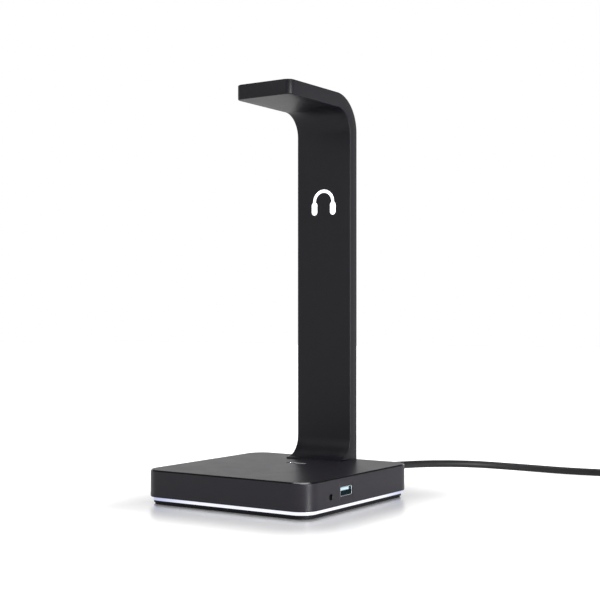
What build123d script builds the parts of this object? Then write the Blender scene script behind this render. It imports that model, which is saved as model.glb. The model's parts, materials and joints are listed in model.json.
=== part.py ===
"""Headphone stand: a lit square base that holds a small USB and audio hub, and a bent metal
slab that rises from the rear of the base and reaches forward as the arm for the headband.

Frame: millimetres, +Z up, the front of the stand faces -Y, the sockets are in the +X side.
The origin is under the centre of the base, on the surface that the stand rests on."""
from build123d import *
import os
from math import cos, degrees, pi, radians, sin, tan

os.makedirs("parts", exist_ok=True)

# ---------------------------------------------------------------- driving dimensions
# base, in plan
base_width = 128.0           # along X
base_depth = 128.0           # along Y
base_corner = 12.0           # radius of the upright corners
housing_edge = 0.5           # round along the housing's lower edge
top_chamfer = 0.5            # bevel along the housing's top edge
ring_inset = 1.75            # light ring, in from the housing's outside
plate_inset = 2.3            # base plate's rim, in from the housing's outside
pad_inset = 3.0              # rubber pad, in from the housing's outside
pad_width = 21.0             # radial width of the rubber pad's frame

# base, in height
base_height = 22.5           # top face above the surface that the stand rests on
pad_reveal = 1.2             # rubber that shows below the plate
pad_sunk = 0.6               # rubber let into the plate
plate_rim = 1.5              # thickness of the plate's rim under the light ring
plate_step = 1.0             # the plate inside the ring is thicker by this much
light_band = 2.2             # height of the lit band
housing_wall = 2.8           # side walls
housing_roof = 2.2           # top wall
ring_width = 4.75            # radial width of the light ring
ring_lip = 2.2               # upstand of the ring inside the housing
least_corner = 1.5           # smallest corner of any outline drawn in from the outside
roof_rib_depth = 3.0         # ribs under the top wall
roof_rib_width = 1.6
stem_seat_extra = 2.0        # thicker top wall under the stem

# stem, one bent slab
stand_height = 275.0         # top of the arm above the surface
stem_width = 44.0            # along X
stem_thickness = 9.0         # of the column
arm_thickness = 9.9          # of the arm
stem_setback = 1.0           # column's rear face, in from the base's rear face
arm_reach = 83.3             # column's rear face to the arm's tip
bend_radius = 16.0           # inside of the bend between column and arm
foot_radius = 14.0           # sweep from the column's front face into the base
foot_lip = 0.9               # edge thickness where that sweep ends
arm_corner = 5.0             # corners of the arm's tip, in plan
stem_edge = 0.8              # softened long edges

# wiring channel in the back of the column, and its cover
channel_width = 24.0
channel_depth = 4.0
cover_thickness = 1.2
cover_ledge = 2.0            # the cover bears on this much at each side of the channel
channel_over_emblem = 15.0   # channel's end above the emblem's centre

# lit mark on the column
emblem_height = 202.5        # centre above the surface
emblem_radius = 8.7          # headband arc of the pictogram
emblem_stroke = 2.2
headband_drop = 1.0          # the arc runs on below the centre by this
ear_pad_length = 9.2
ear_pad_width = 4.6
emblem_pocket = 24.0         # square pocket behind the mark
emblem_web = 3.2             # metal left in front of the pocket
guide_flange = 1.3           # flange of the light guide

# USB-A socket
usb_width = 13.7
usb_height = 5.9
usb_corner = 0.9
usb_wall = 0.35
usb_length = 14.0            # length of the side socket
tongue_width = 11.4
tongue_thickness = 1.84
tongue_lift = 1.1            # tongue's centre, off the socket's centre
tongue_setback = 1.4         # tongue's tip behind the mouth
contact_width = 1.0
contact_pitch = 2.5
contact_thickness = 0.2
contact_setback = 3.5        # long contacts' tips, behind the tongue's tip
short_contact_at = 2.4       # short contacts' rear ends, behind the tongue's tip
short_contact_length = 1.6
short_contact_width = 0.6
short_contact_pitch = 2.0
tongue_bevel = 0.3
spring_pitch = 5.0           # spring fingers in each broad side of a socket
spring_finger_width = 1.5
spring_finger_length = 5.0
spring_slit = 0.35           # cut round three sides of each finger
spring_finger_at = 5.4       # fingers' middle, behind the mouth

# places of the sockets
side_usb_height = 13.4       # centre above the surface
side_usb_from_front = 44.3   # centre behind the base's front face
jack_height = 11.5
jack_from_front = 26.4
top_usb_ahead = 34.0         # centre in front of the column's front face

# audio jack
jack_bore = 1.8              # radius of the 3.5 mm socket
jack_bore_length = 14.0
jack_nose = 2.7              # radius of the nose behind the wall
jack_face = 0.8              # wall left in front of the nose
jack_lead_in = 0.25          # bevel round the mouth of the hole
jack_body_width = 6.4
jack_body_length = 12.0
jack_body_corner = 0.6

# main board
board_top = 8.5              # upper face above the surface
board_thickness = 1.6
board_left_of_centre = 24.0
board_wall_gap = 10.5        # board's right edge, in from the base's right face
board_end_gap = 20.0         # front and rear edges, in from the base's faces
board_hole_inset = 4.0
board_port_hole_inset = 8.0  # holes on the socket side stand clear of the jack
board_corner = 1.5

# ballast
ballast_thickness = 7.0
ballast_wall_gap = 11.0      # in from the base's left face
ballast_board_gap = 3.0
ballast_end_gap = 21.0
ballast_pin = 2.0            # radius of the two locating pins
ballast_bevel = 2.0

# fasteners
boss_inset = 15.0            # corner screws, in from the base's faces
boss_radius = 4.0
cup_wall = 1.6               # wall and floor of the recess for a corner screw's head
m3_hole = 1.25               # hole that the screw cuts its thread in, radius
m3_shank = 1.2               # screw shank, radius, without thread
m3_clear = 1.7
m3_head = 2.75
m3_head_height = 1.7
socket_radius = 1.2          # hexagon socket, corner radius
socket_depth = 0.9
screw_bite = 7.0             # shank in the housing's boss or the stem
hole_extra = 1.0             # tapped hole beyond the end of its screw
small_hole = 1.0
small_shank = 0.95
small_clear = 1.35
small_head = 2.3
small_head_height = 1.4
standoff_radius = 3.0

# lights
led_board_thickness = 0.8
led_board_top = 7.3          # above the surface, clear of the sockets
led_width = 3.5
led_height = 2.0
led_depth = 0.9
leds_per_side = 4
led_board_end = 24.0         # board's end, in from the base's face
led_rib_width = 1.2
led_rib_height = 2.4

# cable
cable_diameter = 5.5
cable_height = 11.2          # axis above the surface where it leaves the base
relief_length = 18.0
relief_root = 4.3            # radius at the housing
relief_tip = 3.5             # radius at the free end
relief_collar = 3.0          # length of the collar inside the housing
relief_groove = 0.5
relief_grooves = 4
relief_root_length = 1.5     # plain stretch before the taper
lead_inside = 14.0           # jacket's end, in from the base's rear face

# cable, coiled
coil_centre = (207.0, 194.0)
coil_radius = 29.0           # middle of the turns
coil_strands = 7
coil_turns = 6.25
tie_width = 10.0
tie_thickness = 0.8

# USB-A plug
plug_width = 12.0
plug_height = 4.5
plug_reach = 12.0            # metal ahead of the grip
plug_wall = 0.3
grip_width = 16.0
grip_height = 8.4
grip_length = 22.0
grip_nose = 9.0
grip_corner = 2.5
grip_edge = 0.5
grip_shoulder_width = 12.0   # where the nose begins to taper
grip_shoulder_height = 7.4
grip_collar = 0.5            # nose's small end, round the cable
grip_ridges = 5              # finger grooves across each broad side
grip_ridge_pitch = 2.2
grip_ridge_width = 0.9
grip_ridge_depth = 0.4
grip_ridge_length = 10.0
plug_corner = 0.5
latch_pitch = 5.0            # square windows in the plug's broad sides
latch_width = 2.0
latch_length = 2.4

# clearances
fit_gap = 0.2                # between parts that are pushed together
port_gap = 0.15              # round each socket in the housing
tie_gap = 0.05               # between the tie and the cable

# ---------------------------------------------------------------- derived places
half_width = base_width / 2
half_depth = base_depth / 2
plate_bottom = pad_reveal
ring_bottom = plate_bottom + plate_rim
plate_top = ring_bottom + plate_step
housing_bottom = ring_bottom + light_band
roof_under = base_height - housing_roof
seat_under = roof_under - stem_seat_extra
ring_inner = ring_inset + ring_width
board_under = board_top - board_thickness

column_rear = half_depth - stem_setback
column_front = column_rear - stem_thickness
arm_tip = column_rear - arm_reach
arm_under = stand_height - arm_thickness
bend_centre_y = column_front - bend_radius
bend_centre_z = arm_under - bend_radius
back_radius = bend_radius + stem_thickness       # outside of the bend
channel_floor = column_rear - channel_depth
channel_top = emblem_height + channel_over_emblem
cover_inner = column_rear - cover_thickness
pocket_floor = column_front + emblem_web

board_right = half_width - board_wall_gap
board_left = -board_left_of_centre
board_rear = half_depth - board_end_gap
board_front = -board_rear
board_centre_x = (board_left + board_right) / 2
board_holes = [
    (board_left + board_hole_inset, board_front + board_hole_inset),
    (board_left + board_hole_inset, board_rear - board_hole_inset),
    (board_right - board_port_hole_inset, board_front + board_hole_inset),
    (board_right - board_port_hole_inset, board_rear - board_hole_inset),
]
corner_x = half_width - boss_inset
corner_y = half_depth - boss_inset
corner_screws = [(sx * corner_x, sy * corner_y) for sx in (-1, 1) for sy in (-1, 1)]

side_usb_y = side_usb_from_front - half_depth
jack_y = jack_from_front - half_depth
top_usb_y = column_front - top_usb_ahead
cable_radius = cable_diameter / 2


def base_outline(inset):
    """The base's plan, drawn in from the housing's outside by inset."""
    corner = max(base_corner - inset, least_corner)
    return RectangleRounded(base_width - 2 * inset, base_depth - 2 * inset, corner)


def save(piece, label):
    """Name a finished piece and write its STEP file."""
    piece.part.label = label
    export_step(piece.part, f"parts/{label}.step")


def screws(label, places, seat, head_up, head, head_height, shank, shank_length):
    """A group of equal screws: heads bear on the plane at height seat, shanks point the other way."""
    way = 1 if head_up else -1
    with BuildPart() as group:
        with BuildSketch(Plane.XY.offset(seat)):
            with Locations(*places):
                Circle(head)
        extrude(amount=way * head_height)
        with BuildSketch(Plane.XY.offset(seat)):
            with Locations(*places):
                Circle(shank)
        extrude(amount=-way * shank_length)
        with BuildSketch(Plane.XY.offset(seat + way * head_height)):
            with Locations(*places):
                RegularPolygon(socket_radius, 6)
        extrude(amount=-way * socket_depth, mode=Mode.SUBTRACT)
    save(group, label)


# ---------------------------------------------------------------- base housing
# Die-cast shell, open below. Bosses take the corner screws, ribs stiffen the top wall, and
# the wall is cut for two sockets, the jack and the cable.
rib_lines_x = [-28.0, 28.0]          # ribs that run front to rear, by their X
rib_lines_y = [-24.0, 8.0]           # ribs that run side to side, by their Y
seat_length = 18.0                   # thickened seat under the stem, along Y
seat_margin = 4.0                    # and past each side of the stem
stem_screw_side = 4.0                # rear screws, in from the stem's sides
stem_screw_rear = 4.8                # and in from the column's rear face
stem_screw_inner = 8.5               # front screws, off the centre line
stem_screw_front = 1.6               # and behind the column's front face
stem_screws = [
    (-(stem_width / 2 - stem_screw_side), column_rear - stem_screw_rear),
    (stem_width / 2 - stem_screw_side, column_rear - stem_screw_rear),
    (-stem_screw_inner, column_front + stem_screw_front),
    (stem_screw_inner, column_front + stem_screw_front),
]
ribbon_x = 8.5                       # flat wire down the channel, off the centre line
ribbon_width = 5.0
ribbon_thickness = 0.9
ribbon_y = (channel_floor + cover_inner) / 2 - fit_gap
slot_clearance = 0.6
collar_width = 11.0                  # strain relief's collar inside the wall
collar_height = 7.2
relief_neck = 4.0                    # radius through the wall

with BuildPart() as base_housing:
    with BuildSketch(Plane.XY.offset(housing_bottom)):
        base_outline(0)
    extrude(amount=base_height - housing_bottom)
    chamfer(base_housing.faces().sort_by(Axis.Z)[-1].edges(), top_chamfer)
    fillet(base_housing.faces().sort_by(Axis.Z)[0].edges(), housing_edge)
    with BuildSketch(Plane.XY.offset(housing_bottom)):
        base_outline(housing_wall)
    extrude(amount=roof_under - housing_bottom, mode=Mode.SUBTRACT)
    # ribs under the top wall, between the side walls
    inner_width = base_width - 2 * housing_wall
    inner_depth = base_depth - 2 * housing_wall
    with BuildSketch(Plane.XY.offset(roof_under)):
        for x in rib_lines_x:
            with Locations((x, 0)):
                Rectangle(roof_rib_width, inner_depth)
        for y in rib_lines_y:
            with Locations((0, y)):
                Rectangle(inner_width, roof_rib_width)
    extrude(amount=-roof_rib_depth)
    # thick seat under the stem
    with BuildSketch(Plane.XY.offset(roof_under)):
        with Locations((0, half_depth - housing_wall - seat_length / 2)):
            Rectangle(stem_width + 2 * seat_margin, seat_length)
    extrude(amount=-stem_seat_extra)
    # corner bosses
    with BuildSketch(Plane.XY.offset(roof_under)):
        with Locations(*corner_screws):
            Circle(boss_radius)
    extrude(amount=-(roof_under - plate_top - cup_wall - pad_sunk))
    with BuildSketch(Plane.XY.offset(plate_top + cup_wall + pad_sunk)):
        with Locations(*corner_screws):
            Circle(m3_hole)
    extrude(amount=screw_bite + hole_extra, mode=Mode.SUBTRACT)
    # clearance holes for the stem's screws, and the slot for its flat wire
    with BuildSketch(Plane.XY.offset(seat_under)):
        with Locations(*stem_screws):
            Circle(m3_clear)
        with Locations((ribbon_x, ribbon_y)):
            Rectangle(ribbon_width + 2 * slot_clearance, ribbon_thickness + 2 * slot_clearance)
    extrude(amount=base_height - seat_under, mode=Mode.SUBTRACT)
    # window for the upright socket
    with BuildSketch(Plane.XY.offset(roof_under)):
        with Locations((0, top_usb_y)):
            RectangleRounded(usb_width + 2 * port_gap, usb_height + 2 * port_gap, usb_corner)
    extrude(amount=housing_roof, mode=Mode.SUBTRACT)
    # window for the side socket
    with BuildSketch(Plane.YZ.offset(half_width)):
        with Locations((side_usb_y, side_usb_height)):
            RectangleRounded(usb_width + 2 * port_gap, usb_height + 2 * port_gap, usb_corner)
    extrude(amount=-housing_wall, mode=Mode.SUBTRACT)
    # the jack's hole, with a recess behind the face for its nose
    with BuildSketch(Plane.YZ.offset(half_width)):
        with Locations((jack_y, jack_height)):
            Circle(jack_bore)
    extrude(amount=-housing_wall, mode=Mode.SUBTRACT)
    with BuildSketch(Plane.YZ.offset(half_width)):
        with Locations((jack_y, jack_height)):
            Circle(jack_bore + jack_lead_in)
    extrude(amount=-jack_lead_in, taper=45, mode=Mode.SUBTRACT)
    with BuildSketch(Plane.YZ.offset(half_width - housing_wall)):
        with Locations((jack_y, jack_height)):
            Circle(jack_nose + port_gap)
    extrude(amount=housing_wall - jack_face, mode=Mode.SUBTRACT)
    # the cable's hole in the rear wall
    with BuildSketch(Plane.XZ.offset(-half_depth)):
        with Locations((0, cable_height)):
            Circle(relief_neck)
    extrude(amount=housing_wall, mode=Mode.SUBTRACT)
save(base_housing, "base_housing")

# ---------------------------------------------------------------- light ring
# Clear moulded frame between housing and plate; its lip locates it inside the housing.
with BuildPart() as light_ring:
    with BuildSketch(Plane.XY.offset(ring_bottom)):
        base_outline(ring_inset)
        with BuildSketch(mode=Mode.PRIVATE) as ring_hole:
            base_outline(ring_inner)
        add(ring_hole.sketch, mode=Mode.SUBTRACT)
    extrude(amount=light_band)
    with BuildSketch(Plane.XY.offset(housing_bottom)):
        base_outline(housing_wall + fit_gap)
        add(ring_hole.sketch, mode=Mode.SUBTRACT)
    extrude(amount=ring_lip)
save(light_ring, "light_ring")

# ---------------------------------------------------------------- base plate
# Moulded closing plate. Cups take the corner screws' heads from below, standoffs carry the
# board, ribs hold the light boards upright, pins locate the ballast, posts carry the clamp.
cup_top = plate_top + cup_wall + pad_sunk
head_seat = cup_top - cup_wall
led_face = ring_inner + fit_gap + led_depth        # light boards' outer face, in from the outside
led_back = led_face + led_board_thickness
rib_inset = led_back + fit_gap / 2 + led_rib_width / 2
led_board_length_x = base_width - 2 * led_board_end
led_board_length_y = base_depth - 2 * led_board_end
pin_x = (-half_width + ballast_wall_gap + board_left - ballast_board_gap) / 2
pin_y = 25.0
clamp_y = half_depth - lead_inside + 1.0     # the clamp holds the jacket close to its end
clamp_hole = 8.0             # clamp's screws, off the cable's axis
clamp_depth = 5.0
clamp_strap = 1.2
post_top = cable_height - 1.5                # the cable stands proud of its cradle
cradle_width = 9.0

with BuildPart() as base_plate:
    with BuildSketch(Plane.XY.offset(plate_bottom)):
        base_outline(plate_inset)
    extrude(amount=plate_rim)
    with BuildSketch(Plane.XY.offset(ring_bottom)):
        base_outline(ring_inner + fit_gap)
    extrude(amount=plate_step)
    # ribs that back the light boards
    with BuildSketch(Plane.XY.offset(plate_top)):
        with Locations((0, half_depth - rib_inset), (0, rib_inset - half_depth)):
            Rectangle(led_board_length_x, led_rib_width)
        with Locations((half_width - rib_inset, 0), (rib_inset - half_width, 0)):
            Rectangle(led_rib_width, led_board_length_y)
    extrude(amount=led_rib_height)
    # cups round the corner screws' heads
    with BuildSketch(Plane.XY.offset(plate_top)):
        with Locations(*corner_screws):
            Circle(m3_head + fit_gap + cup_wall)
    extrude(amount=cup_top - plate_top)
    # standoffs under the board
    with BuildSketch(Plane.XY.offset(plate_top)):
        with Locations(*board_holes):
            Circle(standoff_radius)
    extrude(amount=board_under - plate_top)
    # pins through the ballast
    with BuildSketch(Plane.XY.offset(plate_top)):
        with Locations((pin_x, pin_y), (pin_x, -pin_y)):
            Circle(ballast_pin)
    extrude(amount=ballast_thickness + 1)
    # posts and cradle under the cable clamp
    with BuildSketch(Plane.XY.offset(plate_top)):
        with Locations((-clamp_hole, clamp_y), (clamp_hole, clamp_y)):
            Circle(standoff_radius)
        with Locations((0, clamp_y)):
            Rectangle(cradle_width, clamp_depth)
    extrude(amount=post_top - plate_top)
    with BuildSketch(Plane.XZ.offset(-clamp_y - clamp_depth)):
        with Locations((0, cable_height)):
            Circle(cable_radius)
    extrude(amount=2 * clamp_depth, mode=Mode.SUBTRACT)
    # holes
    with Locations(*[(x, y, plate_bottom) for x, y in corner_screws]):
        Cylinder(m3_clear, cup_top - plate_bottom, align=(Align.CENTER, Align.CENTER, Align.MIN),
                 mode=Mode.SUBTRACT)
        Cylinder(m3_head + fit_gap, head_seat - plate_bottom,
                 align=(Align.CENTER, Align.CENTER, Align.MIN), mode=Mode.SUBTRACT)
    small_screw_places = board_holes + [(-clamp_hole, clamp_y), (clamp_hole, clamp_y)]
    with BuildSketch(Plane.XY.offset(ring_bottom)):
        with Locations(*small_screw_places):
            Circle(small_hole)
    extrude(amount=post_top, mode=Mode.SUBTRACT)
    # recess for the rubber pad
    with BuildSketch(Plane.XY.offset(plate_bottom)):
        base_outline(pad_inset)
        with BuildSketch(mode=Mode.PRIVATE) as pad_hole:
            base_outline(pad_inset + pad_width)
        add(pad_hole.sketch, mode=Mode.SUBTRACT)
    extrude(amount=pad_sunk, mode=Mode.SUBTRACT)
save(base_plate, "base_plate")

# ---------------------------------------------------------------- rubber pad
# One frame of soft rubber glued into the plate; the stand rests on it, and it hides the screws.
with BuildPart() as rubber_pad:
    with BuildSketch():
        base_outline(pad_inset)
        add(pad_hole.sketch, mode=Mode.SUBTRACT)
    extrude(amount=pad_reveal + pad_sunk)
    fillet(rubber_pad.faces().sort_by(Axis.Z)[0].edges(), pad_reveal / 3)
save(rubber_pad, "rubber_pad")

screws("base_screws", corner_screws, head_seat, False, m3_head, m3_head_height, m3_shank,
       screw_bite + cup_wall)

# ---------------------------------------------------------------- lights in the base
# Four strips stand on edge behind the ring, each with a row of lamps that face outwards.
led_lift = (plate_top + led_board_top) / 2
led_pitch_x = led_board_length_x / leds_per_side
led_pitch_y = led_board_length_y / leds_per_side
with BuildPart() as ring_led_boards:
    with BuildSketch(Plane.XY.offset(plate_top)):
        board_mid = led_face + led_board_thickness / 2
        with Locations((0, half_depth - board_mid), (0, board_mid - half_depth)):
            Rectangle(led_board_length_x, led_board_thickness)
        with Locations((half_width - board_mid, 0), (board_mid - half_width, 0)):
            Rectangle(led_board_thickness, led_board_length_y)
    extrude(amount=led_board_top - plate_top)
save(ring_led_boards, "ring_led_boards")

with BuildPart() as ring_leds:
    lamp_mid = led_face - led_depth / 2
    with BuildSketch(Plane.XY.offset(led_lift - led_height / 2)):
        for side in (-1, 1):
            with Locations((0, side * (half_depth - lamp_mid))):
                with GridLocations(led_pitch_x, 1, leds_per_side, 1):
                    Rectangle(led_width, led_depth)
            with Locations((side * (half_width - lamp_mid), 0)):
                with GridLocations(1, led_pitch_y, 1, leds_per_side):
                    Rectangle(led_depth, led_width)
    extrude(amount=led_height)
save(ring_leds, "ring_leds")

# ---------------------------------------------------------------- ballast
# Steel bar beside the board, which keeps the stand steady under the arm's load.
ballast_left = ballast_wall_gap - half_width
ballast_right = board_left - ballast_board_gap
ballast_length = base_depth - 2 * ballast_end_gap
with BuildPart() as ballast_plate:
    with BuildSketch(Plane.XY.offset(plate_top)):
        with Locations(((ballast_left + ballast_right) / 2, 0)):
            Rectangle(ballast_right - ballast_left, ballast_length)
        with Locations((pin_x, pin_y), (pin_x, -pin_y)):
            Circle(ballast_pin + fit_gap / 2, mode=Mode.SUBTRACT)
    extrude(amount=ballast_thickness)
    chamfer(ballast_plate.edges().filter_by(Axis.Z).group_by(SortBy.LENGTH)[-1]
            .filter_by(GeomType.LINE), ballast_bevel)
save(ballast_plate, "ballast_plate")

# ---------------------------------------------------------------- main board and its parts
leg_width = 1.6
leg_thickness = 0.4
leg_offset = 0.6             # legs, ahead of the shell's rear end
usb_rear = half_width - fit_gap - usb_length      # rear end of the side socket
side_leg_x = usb_rear + leg_width / 2 + leg_offset
leg_span = usb_width / 2 - leg_thickness / 2
leg_slot = port_gap
chip_places = [(20.0, 4.0, 9.0), (30.0, -30.0, 7.0)]     # X, Y and side of each chip
chip_thickness = 0.9
can_places = [(4.0, -20.0), (12.0, -20.0), (37.0, 14.0), (37.0, 22.0), (-14.0, 6.0), (-14.0, -6.0)]
can_radius = 2.0
can_height = 5.4
crystal_place = (20.0, -14.0)
crystal_length = 11.0
crystal_width = 4.6
crystal_height = 3.4
crystal_round = 0.5

with BuildPart() as main_board:
    with BuildSketch(Plane.XY.offset(board_under)):
        with Locations((board_centre_x, 0)):
            RectangleRounded(board_right - board_left, board_rear - board_front, board_corner)
        with Locations(*board_holes):
            Circle(small_clear, mode=Mode.SUBTRACT)
        with Locations((side_leg_x, side_usb_y - leg_span), (side_leg_x, side_usb_y + leg_span)):
            Rectangle(leg_width + 2 * leg_slot, leg_thickness + 2 * leg_slot, mode=Mode.SUBTRACT)
        with Locations((-leg_span, top_usb_y), (leg_span, top_usb_y)):
            Rectangle(leg_thickness + 2 * leg_slot, leg_width + 2 * leg_slot, mode=Mode.SUBTRACT)
    extrude(amount=board_thickness)
save(main_board, "main_board")

screws("board_screws", board_holes, board_top, True, small_head, small_head_height, small_shank,
       board_top - plate_bottom - plate_rim - fit_gap)

with BuildPart() as board_chips:
    for x, y, side in chip_places:
        with BuildSketch(Plane.XY.offset(board_top)):
            with Locations((x, y)):
                Rectangle(side, side)
        extrude(amount=chip_thickness)
save(board_chips, "board_chips")

with BuildPart() as board_capacitors:
    with BuildSketch(Plane.XY.offset(board_top)):
        with Locations(*can_places):
            Circle(can_radius)
    extrude(amount=can_height)
save(board_capacitors, "board_capacitors")

with BuildPart() as board_crystal:
    with BuildSketch(Plane.XY.offset(board_top)):
        with Locations(crystal_place):
            SlotOverall(crystal_length, crystal_width)
    extrude(amount=crystal_height)
    fillet(board_crystal.faces().sort_by(Axis.Z)[-1].edges(), crystal_round)
save(board_crystal, "board_crystal")


# ---------------------------------------------------------------- USB-A sockets
# Both sockets are drawn in the plane of their mouth: x along the width, y towards the tongue.
def usb_shell(mouth, length):
    """Sheet-metal shell, open at both ends, with two spring fingers cut in each broad side."""
    with BuildPart() as shell:
        with BuildSketch(mouth):
            RectangleRounded(usb_width, usb_height, usb_corner)
        extrude(amount=-length)
        with BuildSketch(mouth):
            RectangleRounded(usb_width - 2 * usb_wall, usb_height - 2 * usb_wall, usb_corner - usb_wall)
        extrude(amount=-length, mode=Mode.SUBTRACT)
        # each finger hangs by the end that is nearer the mouth
        broad_side = Plane(origin=mouth.origin, x_dir=mouth.x_dir, z_dir=mouth.y_dir)
        with BuildSketch(broad_side):
            with Locations((0, spring_finger_at)):
                with GridLocations(spring_pitch, 1, 2, 1):
                    Rectangle(spring_finger_width + 2 * spring_slit, spring_finger_length)
            with Locations((0, spring_finger_at - spring_slit)):
                with GridLocations(spring_pitch, 1, 2, 1):
                    Rectangle(spring_finger_width, spring_finger_length, mode=Mode.SUBTRACT)
        extrude(amount=usb_height, both=True, mode=Mode.SUBTRACT)
    return shell.part


def usb_insulator(mouth, length, block):
    """Moulding inside the shell: a block at the rear and the tongue that carries the contacts."""
    inside = 2 * usb_wall + fit_gap / 2
    with BuildPart() as insulator:
        with BuildSketch(mouth.offset(block - length)):
            RectangleRounded(usb_width - inside, usb_height - inside, usb_corner - usb_wall)
        extrude(amount=-block)
        with BuildSketch(mouth.offset(block - length)):
            with Locations((0, tongue_lift)):
                Rectangle(tongue_width, tongue_thickness)
        extrude(amount=length - block - tongue_setback)
        tip = insulator.faces().sort_by(Axis(mouth.origin, mouth.z_dir))[-1]
        chamfer(tip.edges(), tongue_bevel)
    return insulator.part


def usb_contacts(mouth, length, block):
    """Four long blades under the tongue and five short ones near its tip."""
    under = tongue_lift - tongue_thickness / 2 - contact_thickness / 2
    blade = length - block - tongue_setback - contact_setback
    with BuildPart() as contacts:
        with BuildSketch(mouth.offset(block - length)):
            with Locations((0, under)):
                with GridLocations(contact_pitch, 1, 4, 1):
                    Rectangle(contact_width, contact_thickness)
        extrude(amount=blade)
        with BuildSketch(mouth.offset(-(tongue_setback + short_contact_at))):
            with Locations((0, under)):
                with GridLocations(short_contact_pitch, 1, 5, 1):
                    Rectangle(short_contact_width, contact_thickness)
        extrude(amount=short_contact_length)
    return contacts.part


insulator_block = 3.0
insulator_foot = 2.0
side_mouth = Plane(origin=(half_width - fit_gap, side_usb_y, side_usb_height),
                   x_dir=(0, 1, 0), z_dir=(1, 0, 0))
top_mouth = Plane(origin=(0, top_usb_y, base_height - fit_gap), x_dir=(1, 0, 0), z_dir=(0, 0, 1))
top_usb_length = base_height - fit_gap - board_top

with BuildPart() as side_usb_shell:
    add(usb_shell(side_mouth, usb_length))
    with BuildSketch(Plane.XY.offset(board_under)):
        with Locations((side_leg_x, side_usb_y - leg_span), (side_leg_x, side_usb_y + leg_span)):
            Rectangle(leg_width, leg_thickness)
    extrude(amount=side_usb_height - board_under)
save(side_usb_shell, "side_usb_shell")

# The side socket stands on a moulded foot, which closes the shell's rear and reaches under it.
with BuildPart() as side_usb_insulator:
    add(usb_insulator(side_mouth, usb_length, insulator_block))
    with BuildSketch(Plane.XY.offset(board_top)):
        with Locations((usb_rear - insulator_foot / 2, side_usb_y)):
            Rectangle(insulator_foot, usb_width)
    extrude(amount=side_usb_height + usb_height / 2 - board_top)
    with BuildSketch(Plane.XY.offset(board_top)):
        with Locations(((usb_rear - insulator_foot + board_right) / 2, side_usb_y)):
            Rectangle(board_right - usb_rear + insulator_foot, usb_width - 4 * leg_thickness)
    extrude(amount=side_usb_height - usb_height / 2 - board_top)
save(side_usb_insulator, "side_usb_insulator")

with BuildPart() as side_usb_contacts:
    add(usb_contacts(side_mouth, usb_length, insulator_block))
save(side_usb_contacts, "side_usb_contacts")

with BuildPart() as top_usb_shell:
    add(usb_shell(top_mouth, top_usb_length))
    with BuildSketch(Plane.XY.offset(board_under)):
        with Locations((-leg_span, top_usb_y), (leg_span, top_usb_y)):
            Rectangle(leg_thickness, leg_width)
    extrude(amount=board_thickness + leg_width)
save(top_usb_shell, "top_usb_shell")

with BuildPart() as top_usb_insulator:
    add(usb_insulator(top_mouth, top_usb_length, insulator_block))
save(top_usb_insulator, "top_usb_insulator")

with BuildPart() as top_usb_contacts:
    add(usb_contacts(top_mouth, top_usb_length, insulator_block))
save(top_usb_contacts, "top_usb_contacts")

# ---------------------------------------------------------------- audio jack
# Moulded body on the board with a round nose in the wall's recess; springs sit in side windows.
jack_front = half_width - housing_wall
jack_rear = jack_front - jack_body_length
nose_tip = half_width - jack_face - fit_gap
spring_length = 6.0
spring_depth = 0.8
spring_height = 2.0
with BuildPart() as audio_jack_body:
    with BuildSketch(Plane.YZ.offset(jack_rear)):
        with Locations((jack_y, jack_height)):
            RectangleRounded(jack_body_width, 2 * (jack_height - board_top), jack_body_corner)
    extrude(amount=jack_body_length - fit_gap)
    with BuildSketch(Plane.YZ.offset(jack_front - fit_gap)):
        with Locations((jack_y, jack_height)):
            Circle(jack_nose)
    extrude(amount=nose_tip - jack_front + fit_gap)
    with BuildSketch(Plane.YZ.offset(nose_tip)):
        with Locations((jack_y, jack_height)):
            Circle(jack_bore)
    extrude(amount=-jack_bore_length, mode=Mode.SUBTRACT)
    with BuildSketch(Plane.XZ.offset(-(jack_y - jack_body_width / 2))):
        with Locations((jack_rear + jack_body_length / 2, jack_height)):
            Rectangle(spring_length, spring_height)
    extrude(amount=-spring_depth, mode=Mode.SUBTRACT)
    with BuildSketch(Plane.XZ.offset(-(jack_y + jack_body_width / 2))):
        with Locations((jack_rear + jack_body_length / 2, jack_height)):
            Rectangle(spring_length, spring_height)
    extrude(amount=spring_depth, mode=Mode.SUBTRACT)
save(audio_jack_body, "audio_jack_body")

with BuildPart() as audio_jack_contacts:
    for side in (-1, 1):
        outer = jack_y + side * jack_body_width / 2
        with BuildSketch(Plane.XZ.offset(-outer)):
            with Locations((jack_rear + jack_body_length / 2, jack_height)):
                Rectangle(spring_length - 2 * fit_gap, spring_height - 2 * fit_gap)
        extrude(amount=side * (spring_depth - fit_gap / 2))
save(audio_jack_contacts, "audio_jack_contacts")

# ---------------------------------------------------------------- stem
# Column, bend and arm are one side profile. The foot sweeps forward into the base's top face.
mark_plane = Plane(origin=(0, column_front, emblem_height), x_dir=(1, 0, 0), z_dir=(0, -1, 0))


def headphone_mark(grow):
    """Plain pictogram: a headband arc that ends in two rounded ear pads."""
    with BuildSketch(mode=Mode.PRIVATE) as mark:
        Circle(emblem_radius + grow)
        Circle(emblem_radius - emblem_stroke - grow, mode=Mode.SUBTRACT)
        with Locations((0, -emblem_radius)):
            Rectangle(3 * emblem_radius, 2 * (emblem_radius - headband_drop), mode=Mode.SUBTRACT)
        pad_x = emblem_radius - emblem_stroke / 2
        with Locations((-pad_x, -ear_pad_length / 2), (pad_x, -ear_pad_length / 2)):
            SlotOverall(ear_pad_length + 2 * grow, ear_pad_width + 2 * grow, rotation=90)
    return mark.sketch


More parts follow.
